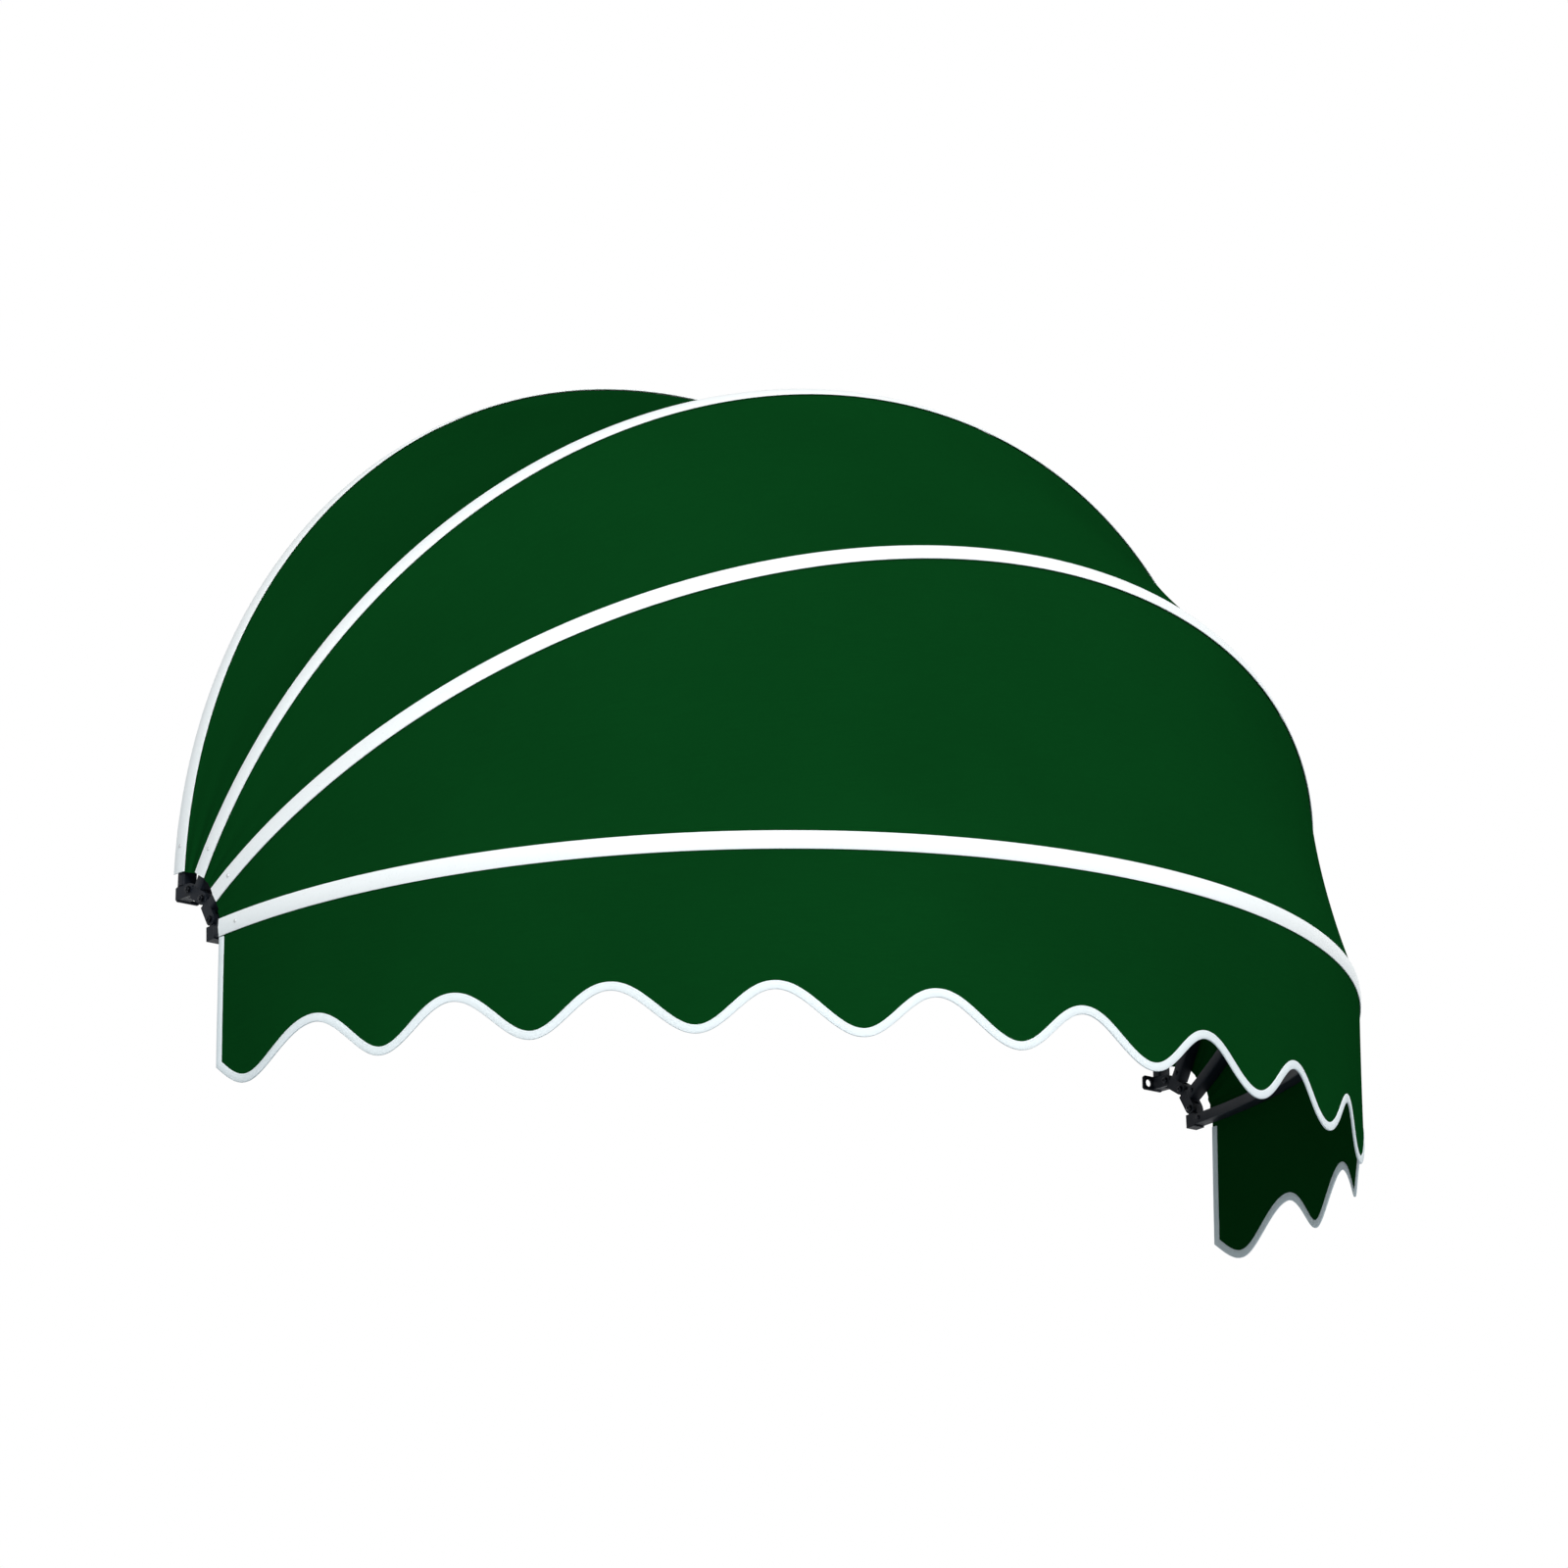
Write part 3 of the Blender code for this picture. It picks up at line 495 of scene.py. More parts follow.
def make_sweep_tree():
    """A section swept along a bow's arc, crowned outside, then stood in the bow's plane."""
    tree, inp, out = new_group(
        "section_on_a_bow", "GeometryNodeTree",
        [
            ("Radius", "Float", 1.0),
            ("Start Angle", "Float", 0.0),
            ("Sweep Angle", "Float", math.pi),
            ("Stations", "Int", 181),
            ("Width", "Float", 0.02),
            ("Depth", "Float", 0.02),
            ("Corner", "Float", 0.002),
            ("Crown", "Float", 0.0),
            ("Fill Ends", "Bool", True),
            ("Lean", "Vector", (0.0, 0.0, 0.0)),
            ("Centre", "Vector", (0.0, 0.0, 0.0)),
            ("Material", "Material", None),
        ],
        [("Geometry", "Geometry")],
    )
    arc = add_node(tree, "GeometryNodeCurveArc", {
        "Resolution": inp["Stations"], "Radius": inp["Radius"], "Start Angle": inp["Start Angle"],
        "Sweep Angle": inp["Sweep Angle"],
    })
    upright = add_node(tree, "GeometryNodeSetCurveNormal", {"Curve": arc.outputs["Curve"]}, mode="Z_UP")
    section = add_node(tree, "GeometryNodeCurvePrimitiveQuadrilateral", {
        "Width": inp["Depth"], "Height": inp["Width"],
    })
    rounded = add_node(tree, "GeometryNodeFilletCurve", {
        "Count": 3, "Limit Radius": True, "Curve": section.outputs["Curve"],
        "Radius": inp["Corner"],
    }, mode="POLY")
    finer = add_node(tree, "GeometryNodeSubdivideCurve", {"Cuts": 1, "Curve": rounded.outputs["Curve"]})
    swept = add_node(tree, "GeometryNodeCurveToMesh", {
        "Curve": upright.outputs["Curve"], "Profile Curve": finer.outputs["Curve"],
        "Fill Caps": inp["Fill Ends"],
    })
    position = add_node(tree, "GeometryNodeInputPosition")
    split = add_node(tree, "ShaderNodeSeparateXYZ", {0: position.outputs[0]})
    flat = add_node(tree, "ShaderNodeCombineXYZ", {0: split.outputs[0], 1: split.outputs[1]})
    reach = add_node(tree, "ShaderNodeVectorMath", {0: flat.outputs[0]}, operation="LENGTH")
    outside = maths(tree, "GREATER_THAN", reach.outputs["Value"], inp["Radius"])
    share = maths(tree, "DIVIDE", maths(tree, "MULTIPLY", split.outputs[2], 2.0), inp["Width"])
    rise = maths(tree, "SUBTRACT", 1.0, maths(tree, "MULTIPLY", share, share))
    lift = maths(tree, "MULTIPLY", maths(tree, "MULTIPLY", rise, inp["Crown"]), outside)
    away = add_node(tree, "ShaderNodeVectorMath", {0: flat.outputs[0]}, operation="NORMALIZE")
    push = add_node(tree, "ShaderNodeVectorMath", {
        0: away.outputs[0], "Scale": lift,
    }, operation="SCALE")
    crowned = add_node(tree, "GeometryNodeSetPosition", {
        "Geometry": swept.outputs[0], "Offset": push.outputs[0],
    })
    stood = add_node(tree, "GeometryNodeTransform", {
        "Geometry": crowned.outputs[0], "Rotation": inp["Lean"], "Translation": inp["Centre"],
    })
    return end_tree(tree, stood.outputs[0], inp, out)


def make_stitch_tree():
    """Stitches along the lines of the mesh that the tree is given."""
    tree, inp, out = new_group(
        "stitches_on_a_line", "GeometryNodeTree",
        [
            ("Lines", "Geometry", None),
            ("Pitch", "Float", 0.004),
            ("Length", "Float", 0.003),
            ("Thread", "Float", 0.0006),
            ("Seed", "Int", 3),
            ("Material", "Material", None),
        ],
        [("Geometry", "Geometry")],
    )
    curve = add_node(tree, "GeometryNodeMeshToCurve", {"Mesh": inp["Lines"]})
    spaced = add_node(tree, "GeometryNodeResampleCurve", {
        "Curve": curve.outputs[0], "Length": inp["Pitch"],
    }, mode="LENGTH")
    bead = add_node(tree, "GeometryNodeMeshUVSphere", {"Segments": 6, "Rings": 4, "Radius": 0.5})
    tangent = add_node(tree, "GeometryNodeInputTangent")
    aim = add_node(tree, "FunctionNodeAlignRotationToVector", {"Vector": tangent.outputs[0]}, axis="Z")
    size = add_node(tree, "ShaderNodeCombineXYZ", {0: inp["Thread"], 1: inp["Thread"]})
    uneven = add_node(tree, "FunctionNodeRandomValue", {
        2: 0.88, 3: 1.06, "Seed": inp["Seed"],
    }, data_type="FLOAT")
    join(tree, maths(tree, "MULTIPLY", inp["Length"], uneven.outputs[1]), size.inputs[2])
    placed = add_node(tree, "GeometryNodeInstanceOnPoints", {
        "Points": spaced.outputs[0], "Instance": bead.outputs[0], "Rotation": aim.outputs[0],
        "Scale": size.outputs[0],
    })
    return end_tree(tree, placed.outputs[0], inp, out)


def make_fastener_tree():
    """One turned fastener, set on each point and turned to the point's axis."""
    tree, inp, out = new_group(
        "fasteners_on_points", "GeometryNodeTree",
        [
            ("Points", "Geometry", None),
            ("Fastener", "Object", None),
            ("Seed", "Int", 1),
            ("Material", "Material", None),
        ],
        [("Geometry", "Geometry")],
    )
    pattern = add_node(tree, "GeometryNodeObjectInfo", {"Object": inp["Fastener"]})
    axis = add_node(tree, "GeometryNodeInputNamedAttribute", {"Name": "axis"}, data_type="FLOAT_VECTOR")
    aim = add_node(tree, "FunctionNodeAlignRotationToVector", {
        "Vector": axis.outputs["Attribute"],
    }, axis="Z")
    spin = add_node(tree, "FunctionNodeRandomValue", {
        3: 2 * math.pi, "Seed": inp["Seed"],
    }, data_type="FLOAT")
    about = add_node(tree, "ShaderNodeCombineXYZ", {2: spin.outputs[1]})
    turned_to = add_node(tree, "FunctionNodeEulerToRotation", {0: about.outputs[0]})
    both = add_node(tree, "FunctionNodeRotateRotation", {
        "Rotation": aim.outputs[0], "Rotate By": turned_to.outputs[0],
    }, rotation_space="LOCAL")
    placed = add_node(tree, "GeometryNodeInstanceOnPoints", {
        "Points": inp["Points"], "Instance": pattern.outputs["Geometry"],
        "Rotation": both.outputs[0],
    })
    return end_tree(tree, placed.outputs[0], inp, out)


# Making pieces


def new_piece(name, mesh):
    piece = bpy.data.objects.new(name, mesh)
    bpy.context.scene.collection.objects.link(piece)
    return piece


def settle(piece, sharp):
    """Turns the piece and its modifiers into one plain mesh, with soft shading."""
    bpy.context.view_layer.update()
    graph = bpy.context.evaluated_depsgraph_get()
    mesh = bpy.data.meshes.new_from_object(piece.evaluated_get(graph))
    old = piece.data
    piece.modifiers.clear()
    piece.data = mesh
    mesh.name = piece.name
    bpy.data.meshes.remove(old)
    soften(mesh, sharp)


def grow(name, tree, start=None, **values):
    """A piece made by a geometry tree. Inputs are set before it is first evaluated."""
    piece = new_piece(name, start or bpy.data.meshes.new(name + "_start"))
    step = piece.modifiers.new("shape", "NODES")
    step.node_group = tree
    for item in tree.interface.items_tree:
        key = item.name.lower().replace(" ", "_")
        if item.item_type == "SOCKET" and item.in_out == "INPUT" and key in values:
            step[item.identifier] = values[key]
    return piece


def lay_uv(mesh, uv):
    """A UV map in metres, from one pair of numbers for each point of the mesh."""
    layer = mesh.uv_layers.new(name="metres")
    corners = np.zeros(len(mesh.loops), np.int32)
    mesh.loops.foreach_get("vertex_index", corners)
    layer.data.foreach_set("uv", uv.reshape(-1, 2)[corners].astype(np.float32).ravel())


def soften(mesh, sharp):
    """Smooth shading, but for edges that turn by more than sharp degrees."""
    mesh.shade_smooth()
    mesh.set_sharp_from_angle(angle=math.radians(sharp))


def grid_mesh(name, points, uv):
    """A mesh from a grid of points, with a UV map in metres."""
    rows, columns = points.shape[:2]
    index = np.arange(rows * columns).reshape(rows, columns)
    faces = np.stack([index[:-1, :-1], index[1:, :-1], index[1:, 1:], index[:-1, 1:]], axis=-1)
    mesh = bpy.data.meshes.new(name)
    mesh.from_pydata(points.reshape(-1, 3).tolist(), [], faces.reshape(-1, 4).tolist())
    lay_uv(mesh, uv)
    return mesh


def down_columns(points):
    """For a grid of points, each one's distance from the first row, along its column."""
    step = np.linalg.norm(np.diff(points, axis=0), axis=2)
    return np.concatenate([np.zeros((1, step.shape[1])), np.cumsum(step, axis=0)])


def thicken_cloth(piece):
    step = piece.modifiers.new("thickness", "SOLIDIFY")
    step.thickness = CLOTH_THICKNESS
    step.offset = 0.0
    step.use_even_offset = True


def mesh_area(mesh):
    return sum(face.area for face in mesh.polygons)


# Bows and strips


def sweep_on_bow(name, tree, k, **values):
    """A piece that follows bow k round its arc, in the bow's own plane."""
    upright = (math.pi / 2 + PLACES[k][0], 0.0, 0.0)
    return grow(name, tree, lean=upright, centre=tuple(bow_centre(k)), **values)


def build_bows(tree, finishes):
    """The hollow tubes, swept through their real section."""
    for k, name in enumerate(BOW_NAMES):
        tube = sweep_on_bow(
            name + "_bow_tube", tree, k,
            radius=TUBE_MIDDLE, start_angle=FOOT_ANGLE, sweep_angle=math.pi - 2 * FOOT_ANGLE,
            stations=TUBE_STATIONS, width=TUBE_WIDTH, depth=TUBE_DEPTH, corner=TUBE_CORNER,
            crown=0.0, fill_ends=False, material=finishes["tube"],
        )
        wall = tube.modifiers.new("wall", "SOLIDIFY")
        wall.thickness = TUBE_WALL
        wall.offset = -1.0
        settle(tube, 50.0)
        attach(tube, name + "_body")
        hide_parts(name + "_bow")


def build_strips(tree, finishes):
    """The clamping strips, a little crowned, with rounded edges."""
    for k, name in enumerate(BOW_NAMES):
        strip = sweep_on_bow(
            name + "_clamping_strip", tree, k,
            radius=BOW_RADIUS - STRIP_THICKNESS / 2, start_angle=END_ANGLE, sweep_angle=CLOTH_ANGLE,
            stations=STRIP_STATIONS, width=STRIP_WIDTH, depth=STRIP_THICKNESS, corner=STRIP_CORNER,
            crown=STRIP_CROWN, fill_ends=True, material=finishes["strip"],
        )
        settle(strip, 40.0)
        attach(strip, name + "_body")
        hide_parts(name + "_strip")


# Covers


def cover_grid(k):
    """Points across a cover from bow k to the next, its UV, and each point's share."""
    angle = np.linspace(END_ANGLE, math.pi - END_ANGLE, COVER_COLUMNS + 1)
    rear_edge = bow_points(k, angle, CLOTH_RADIUS, CLOTH_EDGE)
    rear_corner = bow_points(k, angle, CLOTH_RADIUS, CLOTH_CORNER)
    front_corner = bow_points(k + 1, angle, CLOTH_RADIUS, -CLOTH_CORNER)
    front_edge = bow_points(k + 1, angle, CLOTH_RADIUS, -CLOTH_EDGE)
    span = front_corner - rear_corner
    length = np.linalg.norm(span, axis=1, keepdims=True)
    direction = span / length
    rows = [rear_edge, rear_corner]
    shares = [0.0, 0.0]
    arc = angle * BOW_RADIUS
    from_end = np.minimum(arc - arc[0], arc[-1] - arc)[:, None]
    for row in range(1, COVER_SPAN_ROWS):
        share = row / COVER_SPAN_ROWS
        point = rear_corner + span * share
        centre = (1 - share) * bow_centre(k) + share * bow_centre(k + 1)
        inward = centre - point
        inward -= direction * np.sum(inward * direction, axis=1, keepdims=True)
        inward /= np.linalg.norm(inward, axis=1, keepdims=True)
        dip = COVER_DIP * length * 4 * share * (1 - share)
        taper = math.sin(math.pi * share)
        fan = math.sin(2 * math.pi * PULL_WAVES * share + k)
        pulls = PULL_DEPTH * np.exp(-from_end / PULL_REACH) * fan * taper
        to_bow = np.minimum(share, 1 - share) * length
        wander = PUCKER_WANDER * np.sin(arc / PUCKER_WANDER_LENGTH + k)
        waves = np.sin(arc / PUCKER_LENGTH + wander + k)[:, None]
        pucker = PUCKER_DEPTH * np.exp(-to_bow / PUCKER_REACH) * waves * taper
        rows.append(point + inward * (dip + pulls + pucker))
        shares.append(share)
    rows += [front_corner, front_edge]
    shares += [1.0, 1.0]
    points = np.stack(rows)
    across = down_columns(points)
    across -= across[-1] / 2
    uv = np.stack([np.broadcast_to(arc, across.shape), across], axis=-1)
    return points, uv, np.array(shares)


def build_covers(finishes):
    """The three covers, each blended between its two bows."""
    for k, name in enumerate(HINGE_NAMES):
        points, uv, shares = cover_grid(k)
        cover = new_piece(name + "_cover_cloth", grid_mesh(name + "_cover_cloth", points, uv))
        cover.data.materials.append(finishes["canvas"])
        share = cover.data.attributes.new("share", "FLOAT", "POINT")
        share.data.foreach_set("value", np.repeat(shares, points.shape[1]).astype(np.float32))
        thicken_cloth(cover)
        settle(cover, 60.0)
        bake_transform(cover)
        # Each point's share between its two bows: 0 on the rear bow, 1 on the front bow
        kept = np.zeros(len(cover.data.vertices), np.float32)
        cover.data.attributes["share"].data.foreach_get("value", kept)
        cover.data.attributes.remove(cover.data.attributes["share"])
        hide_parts(name + "_cover")


# Valance


VALANCE_LENGTH = CLOTH_ANGLE * BOW_RADIUS
WAVE_LENGTH = (VALANCE_LENGTH - 2 * END_LOBE) / FULL_WAVES
HEM_LEVEL = float(bow_points(3, END_ANGLE, BOW_RADIUS, 0.0)[2]) - VALANCE_DROP


def hem_height(distance):
    """Height of the hem over its mean line: three quarters of a wave at each end."""
    near = math.pi * (1.5 - 1.5 * distance / END_LOBE)
    far = math.pi * (1.5 - 1.5 * (VALANCE_LENGTH - distance) / END_LOBE)
    share = np.clip((distance - END_LOBE) / (VALANCE_LENGTH - 2 * END_LOBE), 0.0, 1.0)
    drift = HEM_DRIFT * np.sin(math.pi * share)
    mid = 2 * math.pi * (distance - END_LOBE + drift) / WAVE_LENGTH
    mid = mid + math.pi * HEM_SKEW / WAVE_LENGTH * (1 - np.cos(mid))
    last = np.where(distance > VALANCE_LENGTH - END_LOBE, far, mid)
    phase = np.where(distance < END_LOBE, near, last)
    return SCALLOP_HEIGHT / 2 * np.cos(phase)


def hem_line():
    """Distances along the valance, and the hem's height at each."""
    distance = np.linspace(0.0, VALANCE_LENGTH, VALANCE_COLUMNS + 1)
    return distance, HEM_LEVEL + hem_height(distance)


def hang(distance, height, depth=0.0):
    """World points on the hanging cloth, outward by depth from its middle."""
    angle = END_ANGLE + distance / BOW_RADIUS
    top = bow_points(3, angle, CLOTH_RADIUS, CLOTH_CORNER)
    fall = np.clip((top[..., 2] - height) / VALANCE_DROP, 0.0, 1.2)
    wander = FLUTE_WANDER * np.sin(distance * FLUTE_WANDER_RATE)
    flute = np.sin(2 * math.pi * (distance - END_LOBE) / WAVE_LENGTH + wander)
    billow = FLUTE_DEPTH * fall ** 2 * flute
    out = np.stack([np.cos(angle), -np.sin(angle), np.zeros_like(angle)], axis=-1)
    place = np.stack([top[..., 0], top[..., 1], np.broadcast_to(height, angle.shape)], axis=-1)
    return place + out * (billow + depth)[..., None]


def build_valance(finishes):
    """The valance, clamped under the front strip and scalloped at its hem."""
    distance, hem = hem_line()
    angle = END_ANGLE + distance / BOW_RADIUS
    edge = bow_points(3, angle, CLOTH_RADIUS, CLOTH_EDGE)
    corner = bow_points(3, angle, CLOTH_RADIUS, CLOTH_CORNER)
    rows = [edge, corner]
    for row in range(1, VALANCE_ROWS + 1):
        height = corner[:, 2] + (hem - corner[:, 2]) * row / VALANCE_ROWS
        rows.append(hang(distance, height))
    points = np.stack(rows)
    down = down_columns(points)
    uv = np.stack([np.broadcast_to(distance, down.shape), -down], axis=-1)
    valance = new_piece("valance_cloth", grid_mesh("valance_cloth", points, uv))
    area = mesh_area(valance.data)
    valance.data.materials.append(finishes["canvas"])
    thicken_cloth(valance)
    settle(valance, 60.0)
    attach(valance, "front_body")
    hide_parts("valance")
    return valance, (float(down.max()), VALANCE_LENGTH), area


def binding_stations():
    """Points on the valance's free edges, each with the way into the cloth."""
    distance, hem = hem_line()
    slope = np.gradient(hem, distance)
    top = float(bow_points(3, END_ANGLE, CLOTH_RADIUS, STRIP_WIDTH / 2 + BINDING_START)[2])
    leg = np.linspace(top, hem[0], LEG_STATIONS, endpoint=False)
    turn = [i / LEG_STATIONS for i in range(LEG_STATIONS)]
    lift = np.hypot(1.0, slope)
    near_rise = lift[0] + slope[0]
    far_rise = lift[-1] - slope[-1]
    from_near = np.clip(1 - distance / MITRE_SPREAD, 0.0, 1.0)
    from_far = np.clip(1 - (VALANCE_LENGTH - distance) / MITRE_SPREAD, 0.0, 1.0)
    sideways = from_near - from_far
    near = [(0.0, z, 1.0, near_rise * share) for z, share in zip(leg, turn)]
    along = list(zip(distance, hem, sideways, lift + sideways * slope))
    far = [(VALANCE_LENGTH, z, -1.0, far_rise * share) for z, share in zip(leg, turn)]
    return np.array(near + along + far[::-1])


def binding_line(offset, depth):
    """World points at an offset into the cloth from its free edge, all along it."""
    s, z, in_s, in_z = binding_stations().T
    return hang(s + in_s * offset, z + in_z * offset, np.full(len(s), depth))


def build_binding(finishes):
    """Tape folded round the hem and the upright ends."""
    width = BINDING_WIDTH
    inner = BINDING_INNER
    outer = BINDING_OUTER
    fold = BINDING_FOLD
    bevel = 0.0003
    rim = 0.0004
    crease = 0.0002
    # The tape's section, as offset into the cloth and depth to one side of it
    section = (
        (width, outer - bevel), (width - rim, outer), (0.0, outer), (-fold * 0.7, outer * 0.8),
        (-fold, 0.0),
        (-fold * 0.7, -outer * 0.8), (0.0, -outer), (width - rim, -outer), (width, -outer + bevel),
        (width, -inner), (0.0, -inner), (-crease, 0.0), (0.0, inner), (width, inner),
    )
    rings = np.stack([binding_line(offset, depth) for offset, depth in section], axis=1)
    count, corners = rings.shape[:2]
    run = down_columns(rings[:, :1])[:, 0]
    index = np.arange(count * corners).reshape(count, corners)
    after = np.roll(index, -1, axis=1)
    faces = np.stack([index[:-1], index[1:], after[1:], after[:-1]], axis=-1).reshape(-1, 4).tolist()
    faces += [index[0][::-1].tolist(), index[-1].tolist()]
    mesh = bpy.data.meshes.new("valance_binding_tape")
    mesh.from_pydata(rings.reshape(-1, 3).tolist(), [], faces)
    girth = np.array([offset for offset, _ in section])
    uv = np.stack(np.broadcast_arrays(run[:, None], girth[None, :]), axis=-1)
    lay_uv(mesh, uv)
    mesh.materials.append(finishes["binding"])
    bm = bmesh.new()
    bm.from_mesh(mesh)
    bmesh.ops.recalc_face_normals(bm, faces=bm.faces)
    bm.to_mesh(mesh)
    bm.free()
    soften(mesh, 60.0)
    tape = new_piece("valance_binding_tape", mesh)
    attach(tape, "front_body")
    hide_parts("valance_binding")
    return tape


def build_stitches(tree, finishes):
    """A row of stitches on each face of the tape."""
    points = []
    edges = []
    for face in (BINDING_OUTER, -BINDING_OUTER):
        line = binding_line(BINDING_WIDTH - STITCH_INSET, face)
        first = len(points)
        points += line.tolist()
        edges += [(i, i + 1) for i in range(first, len(points) - 1)]
    lines = bpy.data.meshes.new("stitch_lines")
    lines.from_pydata(points, edges, [])
    stitches = grow(
        "binding_stitches", tree, lines,
        pitch=STITCH_PITCH, length=STITCH_LENGTH, thread=THREAD_WIDTH, seed=5,
        material=finishes["thread"],
    )
    settle(stitches, 60.0)
    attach(stitches, "front_body")
    return stitches


# Fasteners


def ring_shape(kind, angle):
    """How far a turned ring reaches at an angle, as a share of its radius."""
    if kind == "hex":
        return math.cos(math.pi / 6) / math.cos(angle % (math.pi / 3) - math.pi / 6)
    if kind == "cross":
        return 1.0 if abs(math.sin(2 * angle)) < 0.1 else 0.42
    return 1.0


def part_of_profile(kind, *pairs):
    """Rings of one kind, from pairs of height and radius."""
    return [(height, radius, kind) for height, radius in pairs]


def turned(name, profile, segments=24):
    """A closed solid about +Z. The profile is (height, radius, kind of ring)."""
    bm = bmesh.new()
    rings = []
    for height, radius, kind in profile:
        if radius == 0.0:
            rings.append([bm.verts.new((0.0, 0.0, height))])
            continue
        ring = []
        for i in range(segments):
            angle = 2 * math.pi * i / segments
            r = radius * ring_shape(kind, angle)
            ring.append(bm.verts.new((r * math.cos(angle), r * math.sin(angle), height)))
        rings.append(ring)
    pairs = list(zip(rings, rings[1:]))
    if len(rings[0]) > 1:
        pairs.append((rings[-1], rings[0]))
    for low, high in pairs:
        for i in range(segments):
            j = (i + 1) % segments
            if len(low) == 1:
                bm.faces.new((low[0], high[j], high[i]))
            elif len(high) == 1:
                bm.faces.new((low[i], low[j], high[0]))
            else:
                bm.faces.new((low[i], low[j], high[j], high[i]))
    bmesh.ops.recalc_face_normals(bm, faces=bm.faces)
    mesh = bpy.data.meshes.new(name)
    bm.to_mesh(mesh)
    bm.free()
    return mesh


def points_mesh(places):
    """Points that carry the axis that a fastener on them points along."""
    mesh = bpy.data.meshes.new("fastener_points")
    mesh.from_pydata([tuple(place) for place, _ in places], [], [])
    axis = mesh.attributes.new("axis", "FLOAT_VECTOR", "POINT")
    axis.data.foreach_set("vector", np.array([tuple(a) for _, a in places], np.float32).ravel())
    return mesh


def set_fasteners(name, tree, pattern, places, body, replaced, finish, seed):
    piece = grow(name, tree, points_mesh(places), fastener=pattern, seed=seed, material=finish)
    settle(piece, 35.0)
    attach(piece, body)
    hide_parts(*replaced)


def bolt_profile():
    """Button-head bolt: the socket, the domed head, then the shank to its rounded end."""
    base = HEAD_FACE
    tip = HEAD_FACE + 0.0068
    socket = part_of_profile(
        "hex", (-base - 0.0018, 0.0), (-base - 0.0018, 0.0021), (-base - 0.0039, 0.0023),
    )
    head = part_of_profile(
        "round", (-base - 0.0040, 0.0028), (-base - 0.0036, 0.0041), (-base - 0.0026, 0.0050),
        (-base - 0.0012, 0.0054), (-base - 0.0003, 0.0055), (-base, 0.0053),
    )
    shank = part_of_profile(
        "round", (-base, 0.0030), (tip - 0.0006, 0.0030), (tip, 0.0025), (tip, 0.0),
    )
    return socket + head + shank


def nut_profile():
    """Lock nut: a chamfered hexagon under a round collar, bored through."""
    low = HEAD_FACE
    foot = part_of_profile("round", (low, 0.0032), (low, 0.0049))
    flats = part_of_profile("hex", (low + 0.0005, 0.0058), (low + 0.0034, 0.0058))
    collar = part_of_profile(
        "round", (low + 0.0038, 0.0050), (low + 0.0046, 0.0048), (low + 0.0050, 0.0043),
        (low + 0.0050, 0.0032),
    )
    return foot + flats + collar


def bow_screw_profile():
    """Pan-head screw: cross recess, head, then the shank inwards along +Z."""
    recess = part_of_profile("cross", (-0.0014, 0.0), (-0.0014, 0.0011), (-0.0028, 0.0017))
    head = part_of_profile(
        "round", (-0.0028, 0.0021), (-0.0024, 0.0033), (-0.0015, 0.0039), (-0.0006, 0.0040),
    )
    shank = part_of_profile("round", (-0.0006, 0.0020), (0.0096, 0.0020), (0.0100, 0.0))
    return recess + head + shank


def strip_screw_profile():
    """The same in small, for the strips."""
    recess = part_of_profile("cross", (-0.0008, 0.0), (-0.0008, 0.0008), (-0.0017, 0.0013))
    head = part_of_profile(
        "round", (-0.0017, 0.0015), (-0.0014, 0.0024), (-0.0007, 0.0030), (-0.0003, 0.0030),
    )
    shank = part_of_profile("round", (-0.0003, 0.0012), (0.0076, 0.0012), (0.0080, 0.0))
    return recess + head + shank


def from_end(angle, side):
    """The angle round a bow of what stands that far from its left or right end."""
    return angle if side > 0 else math.pi - angle


def strip_screw_places(k):
    """The two end screws of a strip: the point under the head, and the way in."""
    angle = END_ANGLE + CLOTH_ANGLE / STRIP_FACETS / 2
    places = []
    for side in SIDES:
        outer = bow_points(k, from_end(angle, side), BOW_RADIUS + STRIP_SCREW_SEAT, 0.0)
        inner = bow_points(k, from_end(angle, side), TUBE_OUTER, 0.0)
        places.append((outer, (inner - outer) / np.linalg.norm(inner - outer)))
    return places


def bow_screw_places(k):
    """The screws through a tube's inner face, just above its feet."""
    inner = TUBE_OUTER - TUBE_DEPTH
    angle = math.asin((TUBE_FOOT + BOW_SCREW_HEIGHT) / inner)
    places = []
    for side in SIDES:
        place = bow_points(k, from_end(angle, side), inner, 0.0)
        places.append((place, (side, 0.0, 0.0)))
    return places


def hinge_places(k):
    """The two hinges in front of bow k, with their bolts pointing outwards."""
    _, _, (y, z) = PLACES[k]
    return [((side * TUBE_MIDDLE, y, z), (side, 0.0, 0.0)) for side in SIDES]


def both_ends(name):
    return [name + "_left", name + "_right"]


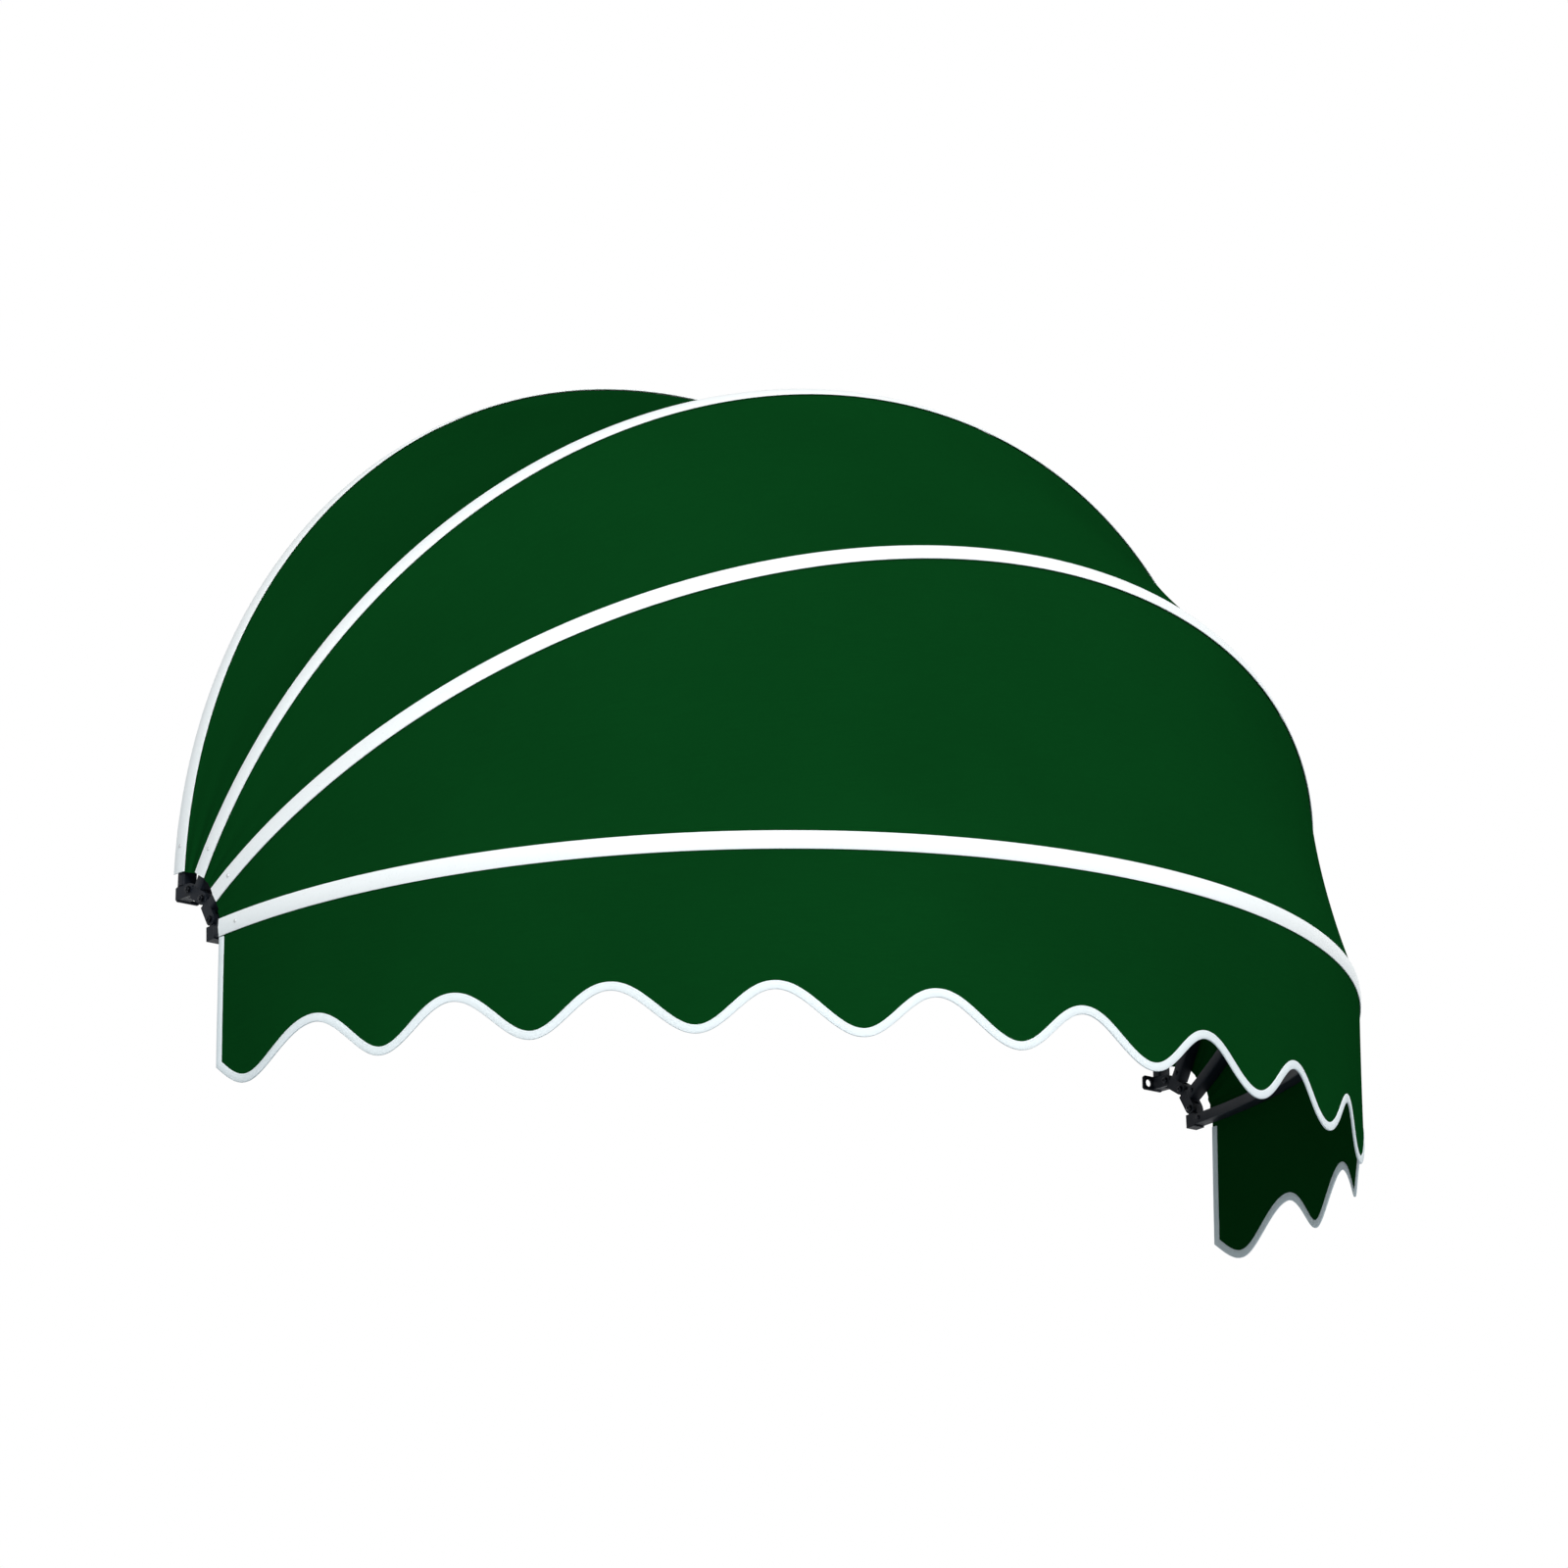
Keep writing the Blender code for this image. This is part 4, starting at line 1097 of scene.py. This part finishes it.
def build_fasteners(tree, finishes):
    """Every screw, bolt and nut, as one piece for each kind and body."""
    profiles = {
        "bolt": bolt_profile(),
        "nut": nut_profile(),
        "bow_screw": bow_screw_profile(),
        "strip_screw": strip_screw_profile(),
    }
    patterns = {}
    for kind, profile in profiles.items():
        mesh = turned(kind + "_pattern", profile)
        patterns[kind] = new_piece(kind + "_pattern", mesh)
    for k, name in enumerate(BOW_NAMES):
        body = name + "_body"
        set_fasteners(
            name + "_bow_screws", tree, patterns["bow_screw"], bow_screw_places(k), body,
            both_ends(name + "_bow_screw"), finishes["bolt"], 11 + k,
        )
        set_fasteners(
            name + "_strip_screws", tree, patterns["strip_screw"], strip_screw_places(k), body,
            both_ends(name + "_strip_screw"), finishes["screw"], 21 + k,
        )
        if k < len(HINGE_NAMES):
            hinge = HINGE_NAMES[k]
            set_fasteners(
                hinge + "_hinge_bolts", tree, patterns["bolt"], hinge_places(k), body,
                both_ends(hinge + "_hinge_bolt"), finishes["bolt"], 31 + k,
            )
            set_fasteners(
                hinge + "_hinge_nuts", tree, patterns["nut"], hinge_places(k), body,
                both_ends(hinge + "_hinge_nut"), finishes["bolt"], 41 + k,
            )
    for pattern in patterns.values():
        bpy.data.objects.remove(pattern, do_unlink=True)


def finish_castings(finishes):
    """The brackets and knuckles keep their solids and take a powder coat."""
    names = both_ends("wall_bracket")
    for name in BOW_NAMES[1:]:
        names += both_ends(name + "_knuckle")
    for name in names:
        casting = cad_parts[name]
        casting.data.materials.clear()
        casting.data.materials.append(finishes["casting"])


# Studio


def seen_directly(tree):
    """1 where a surface is seen, also in a reflection or through glass, and 0 for its light."""
    path = add_node(tree, "ShaderNodeLightPath")
    seen = maths(tree, "MAXIMUM", path.outputs["Is Camera Ray"], path.outputs["Is Glossy Ray"])
    return maths(tree, "MAXIMUM", seen, path.outputs["Is Transmission Ray"])


def make_floor():
    """The floor is clear from underneath, so that it never hides the awning."""
    bm = bmesh.new()
    place = Matrix.Translation((0.0, 0.0, FLOOR_HEIGHT))
    bmesh.ops.create_circle(bm, cap_ends=True, segments=96, radius=FLOOR_RADIUS, matrix=place)
    mesh = bpy.data.meshes.new("floor")
    bm.to_mesh(mesh)
    bm.free()
    floor = new_piece("floor", mesh)
    material = bpy.data.materials.new("pale_floor")
    material.use_nodes = True
    tree = material.node_tree
    shader = tree.nodes["Principled BSDF"]
    seen = seen_directly(tree)
    color = mixed(tree, seen, (0.25, 0.30, 0.33), (0.85, 0.85, 0.85))
    join(tree, color, shader.inputs["Base Color"])
    shader.inputs["Emission Color"].default_value = (1.0, 1.0, 1.0, 1.0)
    join(tree, maths(tree, "MULTIPLY", seen, FLOOR_GLOW), shader.inputs["Emission Strength"])
    shader.inputs["Roughness"].default_value = 0.8
    below = add_node(tree, "ShaderNodeNewGeometry").outputs["Backfacing"]
    clear = add_node(tree, "ShaderNodeBsdfTransparent")
    surface = one_or_other(tree, below, shader.outputs[0], clear.outputs[0])
    join(tree, surface, tree.nodes["Material Output"].inputs["Surface"])
    mesh.materials.append(material)


def make_world():
    """Soft light, strongest from the front and above. White where it is seen."""
    world = bpy.data.worlds.new("studio")
    bpy.context.scene.world = world
    world.use_nodes = True
    tree = world.node_tree
    background = tree.nodes["Background"]
    place = add_node(tree, "ShaderNodeTexCoord")
    facing = add_node(tree, "ShaderNodeVectorMath", {
        0: place.outputs["Generated"], 1: (0.0, -0.8, 0.6),
    }, operation="DOT_PRODUCT")
    share = ramp(tree, facing.outputs["Value"], -0.5, 0.8)
    join(tree, mixed(tree, share, (0.80, 0.94, 1.0), (0.95, 0.985, 1.0)), background.inputs["Color"])
    join(tree, ramp(tree, share, 0.0, 1.0, 0.13, 0.62), background.inputs["Strength"])
    white = add_node(tree, "ShaderNodeBackground", {"Color": (1.0, 1.0, 1.0, 1.0), "Strength": 1.0})
    surface = one_or_other(tree, seen_directly(tree), background.outputs[0], white.outputs[0])
    join(tree, surface, tree.nodes["World Output"].inputs["Surface"])


def make_lamp(name, place, aim, size, power):
    data = bpy.data.lights.new(name, "AREA")
    data.shape = "DISK"
    data.size = size
    data.energy = power
    lamp = bpy.data.objects.new(name, data)
    lamp.location = place
    direction = Vector(aim) - Vector(place)
    lamp.rotation_euler = direction.to_track_quat("-Z", "Y").to_euler()
    bpy.context.scene.collection.objects.link(lamp)


def make_studio():
    make_floor()
    make_world()
    centre = (0.0, -0.45, 0.3)
    make_lamp("key_lamp", (-4.6, -5.5, 3.1), centre, 4.5, 300.0)
    make_lamp("fill_lamp", (4.6, -5.3, 1.0), centre, 4.5, 135.0)
    make_lamp("low_lamp", (-5.2, -3.4, -1.9), centre, 4.0, 68.0)
    make_lamp("back_lamp", (2.8, 4.6, -0.4), centre, 4.0, 75.0)
    bpy.context.scene.view_settings.view_transform = "Standard"


def build_awning():
    finishes = make_finishes()
    sweep_tree = make_sweep_tree()
    build_bows(sweep_tree, finishes)
    build_strips(sweep_tree, finishes)
    build_covers(finishes)
    valance, flat, area = build_valance(finishes)
    tape = build_binding(finishes)
    stitches = build_stitches(make_stitch_tree(), finishes)
    build_fasteners(make_fastener_tree(), finishes)
    finish_castings(finishes)


make_camera()
build_awning()
make_studio()
